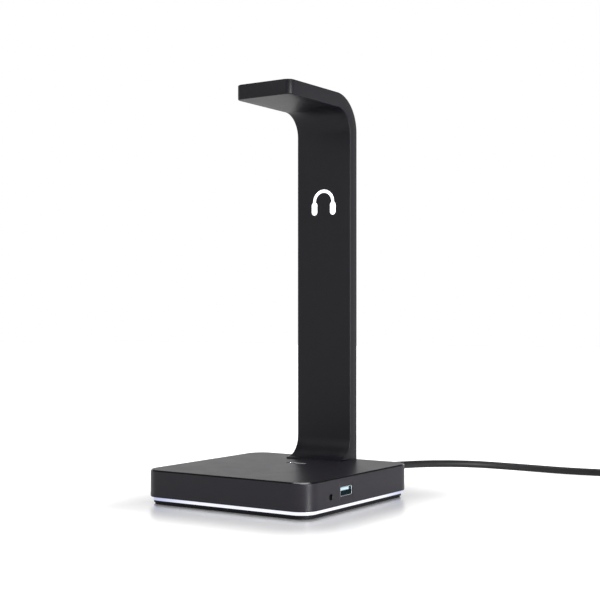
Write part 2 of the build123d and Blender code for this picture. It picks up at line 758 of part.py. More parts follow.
cover_lip = cover_ledge + channel_width / 2
with BuildPart() as stem:
    with BuildSketch(Plane.YZ.offset(-stem_width / 2)):
        with BuildLine():
            foot_centre_z = base_height + foot_lip + foot_radius
            Line((column_rear, base_height), (column_rear, stand_height - back_radius))
            RadiusArc((column_rear, stand_height - back_radius),
                      (column_rear - back_radius, stand_height), -back_radius)
            Line((column_rear - back_radius, stand_height), (arm_tip, stand_height))
            Line((arm_tip, stand_height), (arm_tip, arm_under))
            Line((arm_tip, arm_under), (bend_centre_y, arm_under))
            RadiusArc((bend_centre_y, arm_under), (column_front, bend_centre_z), bend_radius)
            Line((column_front, bend_centre_z), (column_front, foot_centre_z))
            RadiusArc((column_front, foot_centre_z),
                      (column_front - foot_radius, base_height + foot_lip), foot_radius)
            Line((column_front - foot_radius, base_height + foot_lip),
                 (column_front - foot_radius, base_height))
            Line((column_front - foot_radius, base_height), (column_rear, base_height))
        make_face()
    extrude(amount=stem_width)
    tip_corners = stem.edges().filter_by(Axis.Z).group_by(Axis.Y)[0]
    fillet(tip_corners, arm_corner)
    # wiring channel, the ledge for its cover, and the pocket behind the mark
    with BuildSketch(Plane.XZ.offset(-column_rear)):
        with Locations((0, (base_height + channel_top) / 2)):
            Rectangle(channel_width, channel_top - base_height)
    extrude(amount=channel_depth, mode=Mode.SUBTRACT)
    with BuildSketch(Plane.XZ.offset(-column_rear)):
        with Locations((0, (base_height + channel_top + cover_ledge) / 2)):
            Rectangle(2 * cover_lip, channel_top + cover_ledge - base_height)
    extrude(amount=cover_thickness, mode=Mode.SUBTRACT)
    with BuildSketch(Plane.XZ.offset(-channel_floor)):
        with Locations((0, emblem_height)):
            Rectangle(emblem_pocket, emblem_pocket)
    extrude(amount=channel_floor - pocket_floor, mode=Mode.SUBTRACT)
    with BuildSketch(mark_plane):
        add(headphone_mark(port_gap / 2))
    extrude(amount=-emblem_web, mode=Mode.SUBTRACT)
    # threaded holes for the screws that come up through the base
    with BuildSketch(Plane.XY.offset(base_height)):
        with Locations(*stem_screws):
            Circle(m3_hole)
    extrude(amount=screw_bite + hole_extra, mode=Mode.SUBTRACT)
    # softened long edges on both sides; they run on round the tip and down the foot
    side_faces = stem.faces().filter_by(Axis.X).sort_by(SortBy.AREA)[-2:]
    long_edges = [
        edge for face in side_faces for edge in face.edges()
        if edge.length > 2 * stem_thickness and edge.center().Z > base_height + foot_radius
    ]
    fillet(long_edges, stem_edge)
save(stem, "stem")

screws("stem_screws", stem_screws, seat_under, False, m3_head, m3_head_height, m3_shank,
       base_height - seat_under + screw_bite)

# ---------------------------------------------------------------- cover of the channel
press_rib = 1.0
guide_back = pocket_floor + guide_flange
emblem_led_depth = 0.9
emblem_board_thickness = 1.0
emblem_board_front = guide_back + fit_gap + emblem_led_depth
emblem_board_rear = emblem_board_front + emblem_board_thickness
emblem_board_side = channel_width - 1.0
emblem_board_lap = 2.0       # the board reaches below the pocket by this, for its flat wire
emblem_board_bottom = emblem_height - emblem_pocket / 2 - emblem_board_lap
guide_foot_radius = 0.9
guide_foot_inset = 1.2       # feet, in from the flange's edges
with BuildPart() as stem_cover:
    with BuildSketch(Plane.XZ.offset(-cover_inner)):
        with Locations((0, (base_height + channel_top + cover_ledge) / 2)):
            Rectangle(2 * (cover_lip - fit_gap), channel_top + cover_ledge - base_height - fit_gap)
    extrude(amount=-cover_thickness)
    # ribs that press the light board against its feet
    with BuildSketch(Plane.XZ.offset(-cover_inner)):
        with Locations((-emblem_board_side / 3, emblem_height), (emblem_board_side / 3, emblem_height)):
            Rectangle(press_rib, emblem_pocket / 2)
    extrude(amount=cover_inner - emblem_board_rear)
save(stem_cover, "stem_cover")

# ---------------------------------------------------------------- lit mark
with BuildPart() as emblem_light_guide:
    with BuildSketch(mark_plane):
        add(headphone_mark(0))
    extrude(amount=-emblem_web)
    with BuildSketch(Plane.XZ.offset(-pocket_floor)):
        with Locations((0, emblem_height)):
            Rectangle(emblem_pocket - 2 * fit_gap, emblem_pocket - 2 * fit_gap)
    extrude(amount=-guide_flange)
    # feet that the board rests on
    foot_at = emblem_pocket / 2 - fit_gap - guide_foot_inset
    with BuildSketch(Plane.XZ.offset(-guide_back)):
        with Locations((0, emblem_height)):
            with GridLocations(2 * (foot_at - guide_foot_radius), 2 * foot_at, 2, 2):
                Circle(guide_foot_radius)
    extrude(amount=-(emblem_board_front - guide_back))
save(emblem_light_guide, "emblem_light_guide")

with BuildPart() as emblem_board:
    with BuildSketch(Plane.XZ.offset(-emblem_board_front)):
        board_high = emblem_height + (emblem_pocket + emblem_board_lap) / 2
        with Locations((0, (emblem_board_bottom + board_high) / 2)):
            Rectangle(emblem_board_side, board_high - emblem_board_bottom)
    extrude(amount=-emblem_board_thickness)
save(emblem_board, "emblem_board")

with BuildPart() as emblem_leds:
    with BuildSketch(Plane.XZ.offset(-emblem_board_front)):
        with Locations((0, emblem_height)):
            with GridLocations(emblem_radius, emblem_radius, 2, 2):
                Rectangle(led_width, led_height)
    extrude(amount=emblem_led_depth)
save(emblem_leds, "emblem_leds")

# ---------------------------------------------------------------- flat wire to the mark
# It hangs from the board in the channel, passes the slot in the base and turns to its header.
ribbon_over_board = 5.0      # the wire enters its header this high
ribbon_line_z = board_top + ribbon_over_board
header_top = 6.0
header_depth = 7.0
header_width = 9.0
header_margin = 1.0
ribbon_header_y = board_rear - header_margin - header_depth / 2
ribbon_axis_y = emblem_board_front + emblem_board_thickness / 2
ribbon_bend = 4.0
with BuildPart() as emblem_ribbon:
    with BuildLine() as ribbon_path:
        FilletPolyline(
            (ribbon_x, ribbon_axis_y, emblem_board_bottom),
            (ribbon_x, ribbon_axis_y, ribbon_line_z),
            (ribbon_x, ribbon_header_y + header_depth / 2, ribbon_line_z),
            radius=ribbon_bend,
        )
    with BuildSketch(Plane(origin=(ribbon_x, ribbon_axis_y, emblem_board_bottom), z_dir=(0, 0, -1))):
        Rectangle(ribbon_width, ribbon_thickness)
    sweep()
save(emblem_ribbon, "emblem_ribbon")

with BuildPart() as ribbon_header:
    with BuildSketch(Plane.XY.offset(board_top)):
        with Locations((ribbon_x, ribbon_header_y)):
            Rectangle(header_width, header_depth)
    extrude(amount=header_top)
save(ribbon_header, "ribbon_header")

# ---------------------------------------------------------------- strain relief
# Soft sleeve, moulded round the cable: collar inside the wall, neck through it, ribbed taper.
collar_bottom = cable_height - cable_radius
with BuildPart() as strain_relief:
    with BuildSketch(Plane.XZ.offset(-half_depth)):
        with Locations((0, cable_height)):
            Circle(relief_neck)
    extrude(amount=housing_wall)
    with BuildSketch(Plane.XZ.offset(-(half_depth - housing_wall))):
        with Locations((0, collar_bottom + collar_height / 2)):
            Rectangle(collar_width, collar_height)
    extrude(amount=relief_collar)
    with BuildSketch(Plane.YZ):
        with BuildLine():
            Polyline(
                (half_depth, cable_height),
                (half_depth, cable_height + relief_root),
                (half_depth + relief_root_length, cable_height + relief_root),
                (half_depth + relief_length, cable_height + relief_tip),
                (half_depth + relief_length, cable_height),
                close=True,
            )
        make_face()
    revolve(axis=Axis((0, 0, cable_height), (0, 1, 0)))
    # grooves that let the sleeve bend
    groove_pitch = relief_length / (relief_grooves + 2)
    for step in range(relief_grooves):
        groove_y = half_depth + (1.5 + step) * groove_pitch
        with BuildSketch(Plane.XZ.offset(-groove_y)):
            with Locations((0, cable_height)):
                Circle(2 * relief_root)
                Circle(relief_tip - relief_groove / 2, mode=Mode.SUBTRACT)
        extrude(amount=-groove_pitch / 3, mode=Mode.SUBTRACT)
    with BuildSketch(Plane.XZ.offset(-(half_depth + relief_length))):
        with Locations((0, cable_height)):
            Circle(cable_radius)
    extrude(amount=relief_length + housing_wall + relief_collar, mode=Mode.SUBTRACT)
save(strain_relief, "strain_relief")

# ---------------------------------------------------------------- cable inside the base
lead_past_clamp = 3.0        # jacket beyond the clamp
lead_end = half_depth - lead_inside - lead_past_clamp
with BuildPart() as inner_lead:
    with BuildSketch(Plane.XZ.offset(-half_depth)):
        with Locations((0, cable_height)):
            Circle(cable_radius)
    extrude(amount=half_depth - lead_end)
save(inner_lead, "inner_lead")

cable_header_x = -4.0
cable_header_top = 4.0
cable_header_rear = board_rear - 4 * header_margin
wire_count = 4
wire_pitch_jacket = 1.3
wire_pitch_header = 1.9
wire_radius = 0.45
wire_straight = 1.2          # each wire leaves the jacket and meets the header square on
with BuildPart() as lead_wires:
    for step in range(wire_count):
        across = step - (wire_count - 1) / 2
        jacket_x = across * wire_pitch_jacket
        header_x = cable_header_x + across * wire_pitch_header
        header_z = board_top + cable_header_top / 2
        with BuildLine() as wire_path:
            FilletPolyline(
                (jacket_x, lead_end, cable_height),
                (jacket_x, lead_end - wire_straight, cable_height),
                (header_x, cable_header_rear + wire_straight, header_z),
                (header_x, cable_header_rear, header_z),
                radius=wire_straight,
            )
        with BuildSketch(Plane.XZ.offset(-lead_end)):
            with Locations((jacket_x, cable_height)):
                Circle(wire_radius)
        sweep(path=wire_path.wires()[0])
save(lead_wires, "lead_wires")

with BuildPart() as cable_header:
    with BuildSketch(Plane.XY.offset(board_top)):
        with Locations((cable_header_x, cable_header_rear - header_depth / 2)):
            Rectangle(header_width, header_depth)
    extrude(amount=cable_header_top)
save(cable_header, "cable_header")

# ---------------------------------------------------------------- cable clamp
with BuildPart() as cable_clamp:
    with BuildSketch(Plane.XZ.offset(-(clamp_y - clamp_depth / 2))):
        with BuildLine():
            foot = clamp_hole + standoff_radius
            arch = cable_radius + clamp_strap
            Polyline(
                (-foot, post_top),
                (-foot, post_top + clamp_strap),
                (-arch, post_top + clamp_strap),
                (-arch, cable_height),
            )
            RadiusArc((-arch, cable_height), (arch, cable_height), arch)
            Polyline(
                (arch, cable_height),
                (arch, post_top + clamp_strap),
                (foot, post_top + clamp_strap),
                (foot, post_top),
                (-foot, post_top),
            )
        make_face()
        with Locations((0, cable_height)):
            Circle(cable_radius, mode=Mode.SUBTRACT)
        with Locations((0, post_top)):
            Rectangle(2 * cable_radius, 2 * (cable_height - post_top), mode=Mode.SUBTRACT)
    extrude(amount=-clamp_depth)
    with BuildSketch(Plane.XY.offset(post_top)):
        with Locations((-clamp_hole, clamp_y), (clamp_hole, clamp_y)):
            Circle(small_clear)
    extrude(amount=clamp_strap, mode=Mode.SUBTRACT)
save(cable_clamp, "cable_clamp")

screws("clamp_screws", [(-clamp_hole, clamp_y), (clamp_hole, clamp_y)], post_top + clamp_strap, True,
       small_head, small_head_height, small_shank, post_top - plate_top)

# ---------------------------------------------------------------- free cable
# Route of the stretch that isn't coiled: straight through the sleeve, then down to the surface.
coil_x, coil_y = coil_centre
ring_radius = cable_diameter / (2 * sin(pi / coil_strands))   # strands lie round this circle
coil_height = tie_thickness + ring_radius + cable_radius      # middle of the bundle
first_angle = -90 + 180 / coil_strands
entry_radius = coil_radius + ring_radius * cos(radians(first_angle))
entry_z = coil_height + ring_radius * sin(radians(first_angle))
last_angle = first_angle - coil_turns * 360 / coil_strands
exit_radius = coil_radius + ring_radius * cos(radians(last_angle))
exit_z = coil_height + ring_radius * sin(radians(last_angle))
entry_run = 27.0

route = [
    (0.0, half_depth, cable_height),
    (0.0, 97.0, cable_height),
    (8.0, 136.0, 9.6),
    (19.0, 173.0, 8.2),
    (41.0, 206.0, 6.2),
    (75.0, 226.0, 3.6),
    (112.0, 230.5, cable_radius),
    (148.0, coil_y + entry_radius, entry_z),
    (coil_x - entry_run, coil_y + entry_radius, entry_z),
]


def bend_radii(points):
    """As large as the two runs at each corner allow."""
    radii = []
    for before, corner, after in zip(points, points[1:], points[2:]):
        incoming = Vector(corner) - Vector(before)
        outgoing = Vector(after) - Vector(corner)
        half_turn = radians(incoming.get_angle(outgoing)) / 2
        radii.append(0.45 * min(incoming.length, outgoing.length) / tan(half_turn))
    return radii


def cable_tube(label, points):
    """Round tube along straight runs joined by tangent arcs."""
    radii = bend_radii(points)
    with BuildPart() as tube:
        with BuildLine() as path:
            FilletPolyline(*points, radius=radii)
        with BuildSketch(Plane(origin=path.line @ 0, z_dir=path.line % 0)):
            Circle(cable_radius)
        sweep()
    save(tube, label)
    length = path.wires()[0].length
    ratio = tube.part.volume / (pi * cable_radius ** 2 * length)
    print(label, "length", round(length, 1), "volume ratio", round(ratio, 4),
          "radii", [round(r) for r in radii])
    return length


free_length = cable_tube("usb_cable", route)

# The coil's outer shape is one ring, with a stub where the cable comes in and one where it leaves.
exit_run = 22.0
with BuildPart() as cable_coil:
    with BuildSketch(Plane(origin=(coil_x, coil_y, coil_height), x_dir=(1, 0, 0), z_dir=(0, -1, 0))):
        with Locations((coil_radius, 0)):
            Circle(ring_radius + cable_radius)
    revolve(axis=Axis((coil_x, coil_y, 0), (0, 0, 1)))
    with BuildSketch(Plane(origin=(coil_x - entry_run, coil_y + entry_radius, entry_z), z_dir=(1, 0, 0))):
        Circle(cable_radius)
    extrude(amount=entry_run)
    with BuildSketch(Plane(origin=(coil_x + exit_radius, coil_y, exit_z), z_dir=(0, -1, 0))):
        Circle(cable_radius)
    extrude(amount=exit_run)
save(cable_coil, "cable_coil")

# Hook-and-loop tie round the bundle, on the side of the coil that faces the stand.
bundle_radius = ring_radius + cable_radius
tie_angle = degrees(tie_width / coil_radius)
tie_start = radians(180 - tie_angle / 2)
tie_plane = Plane(origin=(coil_x, coil_y, coil_height), x_dir=(cos(tie_start), sin(tie_start), 0),
                  z_dir=(sin(tie_start), -cos(tie_start), 0))
with BuildPart() as cable_tie:
    with BuildSketch(tie_plane):
        with Locations((coil_radius, 0)):
            Circle(bundle_radius + tie_thickness)
            Circle(bundle_radius + tie_gap, mode=Mode.SUBTRACT)
    revolve(axis=Axis((coil_x, coil_y, 0), (0, 0, 1)), revolution_arc=tie_angle)
save(cable_tie, "cable_tie")

# The last stretch comes down from the coil to the plug, which lies on the surface.
plug_axis_z = grip_height / 2
tail_x = coil_x + exit_radius
tail_step = 12.0
tail_start = coil_y - exit_run
tail = [
    (tail_x, tail_start, exit_z),
    (tail_x, tail_start - tail_step, exit_z),
    (tail_x, tail_start - 2 * tail_step, plug_axis_z),
    (tail_x, tail_start - 3 * tail_step, plug_axis_z),
]
tail_length = cable_tube("cable_tail", tail)
coil_length = 2 * pi * coil_radius * coil_turns
print("whole cable", round(free_length + coil_length + exit_run + entry_run + tail_length, 1))

# ---------------------------------------------------------------- plug
grip_rear = tail_start - 3 * tail_step
grip_front = grip_rear - grip_nose - grip_length
plug_frame = Plane(origin=(tail_x, grip_front, plug_axis_z), x_dir=(1, 0, 0), z_dir=(0, -1, 0))
plug_anchor = 3.0            # metal shell held inside the grip
with BuildPart() as plug_grip:
    with BuildSketch(plug_frame):
        RectangleRounded(grip_width, grip_height, grip_corner)
    extrude(amount=-grip_length)
    with BuildSketch(plug_frame.offset(-grip_length)):
        RectangleRounded(grip_shoulder_width, grip_shoulder_height, grip_corner)
    with BuildSketch(plug_frame.offset(-grip_length - grip_nose)):
        Circle(cable_radius + grip_collar)
    loft()
    fillet(plug_grip.faces().sort_by(Axis.Y)[0].edges(), grip_edge)
    for side in (-1, 1):
        with BuildSketch(Plane.XY.offset(plug_axis_z + side * grip_height / 2)):
            with Locations((tail_x, grip_front + grip_length / 2)):
                with GridLocations(1, grip_ridge_pitch, 1, grip_ridges):
                    Rectangle(grip_ridge_length, grip_ridge_width)
        extrude(amount=-side * grip_ridge_depth, mode=Mode.SUBTRACT)
    with BuildSketch(plug_frame):
        Rectangle(plug_width, plug_height)
    extrude(amount=-plug_anchor, mode=Mode.SUBTRACT)
save(plug_grip, "plug_grip")

with BuildPart() as plug_shell:
    with BuildSketch(plug_frame.offset(-plug_anchor)):
        RectangleRounded(plug_width, plug_height, plug_corner)
        RectangleRounded(plug_width - 2 * plug_wall, plug_height - 2 * plug_wall,
                         plug_corner - plug_wall / 2, mode=Mode.SUBTRACT)
    extrude(amount=plug_reach + plug_anchor)
    # the two square latch windows in each broad side
    with BuildSketch(Plane.XY):
        with Locations((tail_x, grip_front - plug_reach / 2)):
            with GridLocations(latch_pitch, 1, 2, 1):
                Rectangle(latch_width, latch_length)
    extrude(amount=2 * grip_height, mode=Mode.SUBTRACT)
save(plug_shell, "plug_shell")

insert_height = 1.9
insert_setback = 0.5         # behind the metal's end
plug_contact_setback = 1.5
insert_lift = (plug_height - 2 * plug_wall - insert_height) / 2
with BuildPart() as plug_insert:
    with BuildSketch(plug_frame.offset(-plug_anchor)):
        with Locations((0, -insert_lift)):
            Rectangle(plug_width - 2 * plug_wall - 3 * fit_gap, insert_height)
    extrude(amount=plug_reach + plug_anchor - insert_setback)
save(plug_insert, "plug_insert")

with BuildPart() as plug_contacts:
    with BuildSketch(plug_frame.offset(-plug_anchor)):
        with Locations((0, insert_height / 2 - insert_lift + contact_thickness / 2)):
            with GridLocations(contact_pitch, 1, 4, 1):
                Rectangle(contact_width, contact_thickness)
    extrude(amount=plug_reach + plug_anchor - plug_contact_setback)
save(plug_contacts, "plug_contacts")
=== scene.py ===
"""Headphone stand with a lit hub base, dressed piece by piece in the order it is put together.

Lengths are in metres; mm turns a drawing size into metres. +Z is up and the front faces -Y.
"""
import json

import bmesh
import bpy
import numpy as np
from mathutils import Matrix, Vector, geometry


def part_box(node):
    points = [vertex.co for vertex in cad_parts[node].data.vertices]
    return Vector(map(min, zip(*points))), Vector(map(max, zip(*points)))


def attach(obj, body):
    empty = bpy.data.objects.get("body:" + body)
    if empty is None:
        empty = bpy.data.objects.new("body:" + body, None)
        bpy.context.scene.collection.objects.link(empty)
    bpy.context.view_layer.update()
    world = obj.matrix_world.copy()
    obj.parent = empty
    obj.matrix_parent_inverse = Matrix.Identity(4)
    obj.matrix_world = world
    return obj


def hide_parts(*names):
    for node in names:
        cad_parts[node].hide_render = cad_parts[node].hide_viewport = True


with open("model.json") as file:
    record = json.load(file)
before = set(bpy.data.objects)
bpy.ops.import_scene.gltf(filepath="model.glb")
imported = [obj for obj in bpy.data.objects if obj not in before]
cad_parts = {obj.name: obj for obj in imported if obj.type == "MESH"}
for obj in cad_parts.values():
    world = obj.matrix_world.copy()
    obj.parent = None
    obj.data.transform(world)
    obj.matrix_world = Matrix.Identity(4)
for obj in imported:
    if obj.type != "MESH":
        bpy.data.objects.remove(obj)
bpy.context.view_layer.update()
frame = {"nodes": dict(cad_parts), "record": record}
mm = 0.001

# -------- base plate
# The closing plate under the base: injection-moulded black ABS with a fine spark-eroded grain.
# It keeps its moulded cups, posts and ribs, and four screws under the pad hold it.


class Signal:
    """A shader socket that takes part in sums: each operator adds its Math node."""

    def __init__(self, nodes, socket):
        self.nodes = nodes
        self.socket = socket

    def maths(self, operation, first, second):
        return self.nodes.node("ShaderNodeMath", {0: first, 1: second}, operation=operation)

    def __add__(self, other):
        return self.maths("ADD", self, other)

    def __radd__(self, other):
        return self.maths("ADD", other, self)

    def __sub__(self, other):
        return self.maths("SUBTRACT", self, other)

    def __rsub__(self, other):
        return self.maths("SUBTRACT", other, self)

    def __mul__(self, other):
        return self.maths("MULTIPLY", self, other)

    def __rmul__(self, other):
        return self.maths("MULTIPLY", other, self)

    def __gt__(self, limit):
        return self.maths("GREATER_THAN", self, limit)

    def __or__(self, other):
        return self.maths("MAXIMUM", self, other)


class Nodes:
    """A node tree, with one way to add any node to it."""

    def __init__(self, tree):
        self.tree = tree

    def node(self, kind, sockets, out=0, **settings):
        """Adds a node: its settings first, then the values or links of its sockets."""
        made = self.tree.nodes.new(kind)
        for setting, value in settings.items():
            setattr(made, setting, value)
        for key, value in sockets.items():
            if isinstance(value, Signal):
                self.tree.links.new(value.socket, made.inputs[key])
            else:
                made.inputs[key].default_value = value
        return Signal(self, made.outputs[out])

    def vectors(self, operation, first, second=(0.0, 0.0, 0.0), out=0):
        """Vector Math on two vectors, or on the first alone."""
        return self.node("ShaderNodeVectorMath", {0: first, 1: second}, out=out, operation=operation)

    def ramp(self, value, start, end, first, last, curve="SMOOTHSTEP"):
        """Runs from first to last while value goes from start to end."""
        return self.node("ShaderNodeMapRange", {"Value": value, "From Min": start, "From Max": end,
                                                "To Min": first, "To Max": last}, interpolation_type=curve)


class Finish(Nodes):
    """One material: a Principled shader, with the nodes that vary it over the surface."""

    def __init__(self, name, colour, roughness, metallic=0.0, **constants):
        self.material = bpy.data.materials.new(name)
        self.material.use_nodes = True
        super().__init__(self.material.node_tree)
        self.shader = self.tree.nodes["Principled BSDF"]
        self.shader.inputs["Base Color"].default_value = (*colour, 1.0)
        self.shader.inputs["Roughness"].default_value = roughness
        self.shader.inputs["Metallic"].default_value = metallic
        for words, value in constants.items():
            self.shader.inputs[words.replace("_", " ").title().replace("Ior", "IOR")].default_value = value

    def place(self, scale=(1.0, 1.0, 1.0)):
        """The piece's own coordinates in metres, stretched by scale."""
        where = self.node("ShaderNodeTexCoord", {}, out="Object")
        return self.node("ShaderNodeMapping", {"Vector": where, "Scale": scale})

    def noise(self, size, detail=3.0, stretch=(1.0, 1.0, 1.0)):
        """Cloudy pattern from 0 to 1 whose lumps are about size across."""
        where = self.place(tuple(share / size for share in stretch))
        return self.node("ShaderNodeTexNoise", {"Vector": where, "Scale": 1.0, "Detail": detail})

    def drive(self, socket, signal):
        self.tree.links.new(signal.socket, self.shader.inputs[socket])
        return self

    def axes(self, scale=1.0):
        """The X, Y and Z of the piece's own coordinates, times scale."""
        split = self.node("ShaderNodeSeparateXYZ", {0: self.place((scale,) * 3)})
        return [Signal(self, output) for output in split.socket.node.outputs]

    def blend(self, mask, dark, light):
        """Colour that runs from dark to light with mask; either may be three numbers or a signal."""
        dark, light = (colour if isinstance(colour, Signal) else (*colour, 1.0) for colour in (dark, light))
        return self.node("ShaderNodeMix", {0: mask, 6: dark, 7: light}, out=2, data_type="RGBA")

    def tint(self, mask, dark, light):
        """Base colour that runs from dark to light with mask."""
        return self.drive("Base Color", self.blend(mask, dark, light))

    def cloudy(self, size, dark, light, roughness=0.0, swing=0.0, detail=3.0, stretch=(1.0, 1.0, 1.0)):
        """Varies the colour with a noise and, given a swing, the roughness from its value up by swing."""
        cloud = self.noise(size, detail, stretch)
        self.tint(cloud, dark, light)
        if swing:
            self.drive("Roughness", roughness + swing * cloud)
        return cloud

    def grain(self, height, depth):
        """Bump of that real depth from a height signal."""
        return self.drive("Normal", self.node("ShaderNodeBump", {"Height": height, "Distance": depth}))

    def dress(self, *nodes):
        """Gives CAD nodes that stay this material."""
        for node in nodes:
            slots = frame["nodes"][node].data.materials
            slots.clear()
            slots.append(self.material)


plate_plastic = Finish("plate_plastic", (0.004, 0.004, 0.006), 0.5, ior=1.22)
plate_plastic.cloudy(9 * mm, (0.0026, 0.0027, 0.0046), (0.0044, 0.0045, 0.0070), 0.46, 0.12)
plate_plastic.grain(plate_plastic.noise(0.35 * mm, 2.0), 0.03 * mm)
plate_plastic.dress("base_plate")

# -------- rubber pad
# One square frame of moulded silicone rubber, glued into the plate's recess. Its lower edges are
# rolled over, and a knurl of small diamonds on the underside grips the desk.
housing_low, housing_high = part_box("base_housing")
base_half = housing_high.x
base_corner = 12 * mm
least_corner = 1.5 * mm
corner_steps = 12


def outline(half_x, half_y, corner, stops=((), (), (), ()), steps=corner_steps):
    """Points round a rounded rectangle, anticlockwise from the lower end of its right side.

    A side runs straight from -(half - corner) to half - corner, with a point at each share in its
    stops, and a quarter circle of the corner's radius then turns it by a right angle.
    """
    bend = np.linspace(0, np.pi / 2, steps + 1)
    sides = []
    for side, shares in enumerate(stops):
        across, along = (half_x, half_y) if side % 2 == 0 else (half_y, half_x)
        run = along - corner
        x = np.concatenate([np.full(len(shares), across), across - corner + corner * np.cos(bend)])
        y = np.concatenate([run * (2 * np.array(shares) - 1), run + corner * np.sin(bend)])
        sides.append([(x, y), (-y, x), (-x, -y), (y, -x)][side])
    return np.concatenate([np.column_stack(side) for side in sides])


def level(points, height):
    """Points of a flat outline, all at one height."""
    return np.column_stack([points, np.full(len(points), height)])


def tube(half_x, half_y, corner, profile, stops=((), (), (), ()), steps=corner_steps, least=0.0):
    """Rings for a profile of (inset, height) pairs.

    At inset i the rounded rectangle's half widths are h - i, and its corners r - i or the least.
    """
    return np.array([
        level(outline(half_x - inset, half_y - inset, max(corner - inset, least), stops, steps), height)
        for inset, height in profile])


def base_rings(profile, stops=((), (), (), ())):
    """Rings round the base, with insets from the housing's outside."""
    return tube(base_half, base_half, base_corner, profile, stops, least=least_corner)


def rounded(profile, radius, steps=3):
    """A closed profile with each corner traded for a short arc of that cut.

    Between a corner's two cut points the curve is the parabola a(1-t)^2 + 2bt(1-t) + ct^2.
    """
    corners = np.array(profile, float)
    before = np.roll(corners, 1, axis=0) - corners
    after = np.roll(corners, -1, axis=0) - corners
    reach_before = np.linalg.norm(before, axis=1, keepdims=True)
    reach_after = np.linalg.norm(after, axis=1, keepdims=True)
    cut = np.minimum(np.broadcast_to(np.reshape(radius, (-1, 1)), reach_before.shape),
                     0.45 * np.minimum(reach_before, reach_after))
    start = corners + before / reach_before * cut
    end = corners + after / reach_after * cut
    t = np.linspace(0, 1, steps + 1)[None, :, None]
    arcs = start[:, None] * (1 - t) ** 2 + 2 * corners[:, None] * t * (1 - t) + end[:, None] * t ** 2
    return arcs.reshape(-1, 2)


def new_object(name, data):
    """Puts a mesh, curve, lamp or camera into the scene."""
    made = bpy.data.objects.new(name, data)
    bpy.context.scene.collection.objects.link(made)
    return made


class Shell:
    """Grids and flat patches that are joined into the mesh of one piece."""

    def __init__(self):
        self.points = []
        self.faces = []
        self.count = 0

    def add(self, points, faces):
        self.points.append(np.reshape(points, (-1, 3)))
        self.faces += (np.asarray(faces) + self.count).tolist()
        self.count += len(self.points[-1])
        return self

    def grid(self, at, round_rows=False, round_columns=False, keep=None):
        """Quads between neighbours of a rows x columns x 3 grid, closed on itself where asked."""
        rows, columns = at.shape[:2]
        i, j = np.meshgrid(np.arange(rows if round_rows else rows - 1),
                           np.arange(columns if round_columns else columns - 1), indexing="ij")
        quads = np.stack([i * columns + j, (i + 1) % rows * columns + j,
                          (i + 1) % rows * columns + (j + 1) % columns,
                          i * columns + (j + 1) % columns], axis=-1)
        return self.add(at, quads[keep] if keep is not None else quads.reshape(-1, 4))

    def patch(self, *loops):
        """A flat face inside the first loop and outside the others."""
        rings = [[Vector(point) for point in loop] for loop in loops]
        return self.add(np.concatenate(loops), geometry.tessellate_polygon(rings))

    def piece(self, name, finish, slot, stands_for=(), crease=32):
        """Merges the seams, turns every face outwards, puts the piece under the root body and hides the CAD
        parts it stands for.
        """
        mesh = bpy.data.meshes.new(name)
        mesh.from_pydata(np.concatenate(self.points).tolist(), [], self.faces)
        work = bmesh.new()
        work.from_mesh(mesh)
        bmesh.ops.remove_doubles(work, verts=work.verts, dist=0.0005 * mm)
        bmesh.ops.recalc_face_normals(work, faces=work.faces)
        work.to_mesh(mesh)
        work.free()
        mesh.polygons.foreach_set("use_smooth", np.ones(len(mesh.polygons), bool))
        mesh.set_sharp_from_angle(angle=np.radians(crease))
        mesh.materials.append(finish.material)
        made = new_object(name, mesh)
        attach(made, "root")
        if stands_for:
            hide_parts(*stands_for)
        return made


pad_rubber = Finish("pad_rubber", (0.006, 0.006, 0.007), 0.72, ior=1.3)
pad_rubber.cloudy(5 * mm, (0.0042, 0.0042, 0.0054), (0.0075, 0.0075, 0.0090), 0.66, 0.14)
knurl_bar = 1.6 * mm
unit_bars = 0.314  # scale of the wave at which its bars are one unit wide along each axis


def knurl(way):
    """Bars that run across the diagonal between X and Y, or the other one with way -1."""
    where = pad_rubber.place((1 / knurl_bar, way / knurl_bar, 1 / knurl_bar))
    return pad_rubber.node("ShaderNodeTexWave", {"Vector": where, "Scale": unit_bars, "Distortion": 0.0},
                           bands_direction="DIAGONAL")


pad_rubber.grain(knurl(1) * knurl(-1), 0.12 * mm)

pad_low, pad_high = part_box("rubber_pad")
pad_inset = base_half - pad_high.x
pad_width = 21 * mm
pad_profile = rounded([(pad_inset, pad_low.z), (pad_inset, pad_high.z),
                       (pad_inset + pad_width, pad_high.z), (pad_inset + pad_width, pad_low.z)],
                      np.array([0.33, 0.1, 0.1, 0.33]) * mm)
(Shell().grid(base_rings(pad_profile), round_rows=True, round_columns=True)
 .piece("rubber_pad_skin", pad_rubber, "pad_rubber", ["rubber_pad"]))

# -------- lights in the base
# Four strips of circuit board stand behind the light ring, each with four side-facing lamps. The
# closed base hides them, and the ring's own glow stands for their light.
lamp = Finish("lamp_white", (0.9, 0.93, 1.0), 0.3, emission_color=(0.80, 0.90, 1.0, 1.0),
              emission_strength=2.0)
lamp.cloudy(1.2 * mm, (0.85, 0.88, 0.95), (0.95, 0.96, 1.0))
circuit = Finish("circuit_board", (0.01, 0.02, 0.016), 0.4)
circuit_tracks = circuit.cloudy(1.5 * mm, (0.006, 0.014, 0.012), (0.016, 0.034, 0.026), 0.32, 0.2,
                                detail=1.0, stretch=(1.0, 4.0, 1.0))
circuit.grain(circuit_tracks, 0.02 * mm)
lamp.dress("ring_leds", "emblem_leds")
circuit.dress("ring_led_boards", "main_board", "emblem_board")

# -------- light ring
# Frame of opal acrylic, machined to a square band between housing and plate. The lamps behind it
# make it glow cold white, a little stronger in front of each lamp.
ring_low, ring_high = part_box("light_ring")
ring_inset = base_half - ring_high.x
ring_width = 4.75 * mm
lip_inset = 3.0 * mm
lamp_pitch = 20 * mm

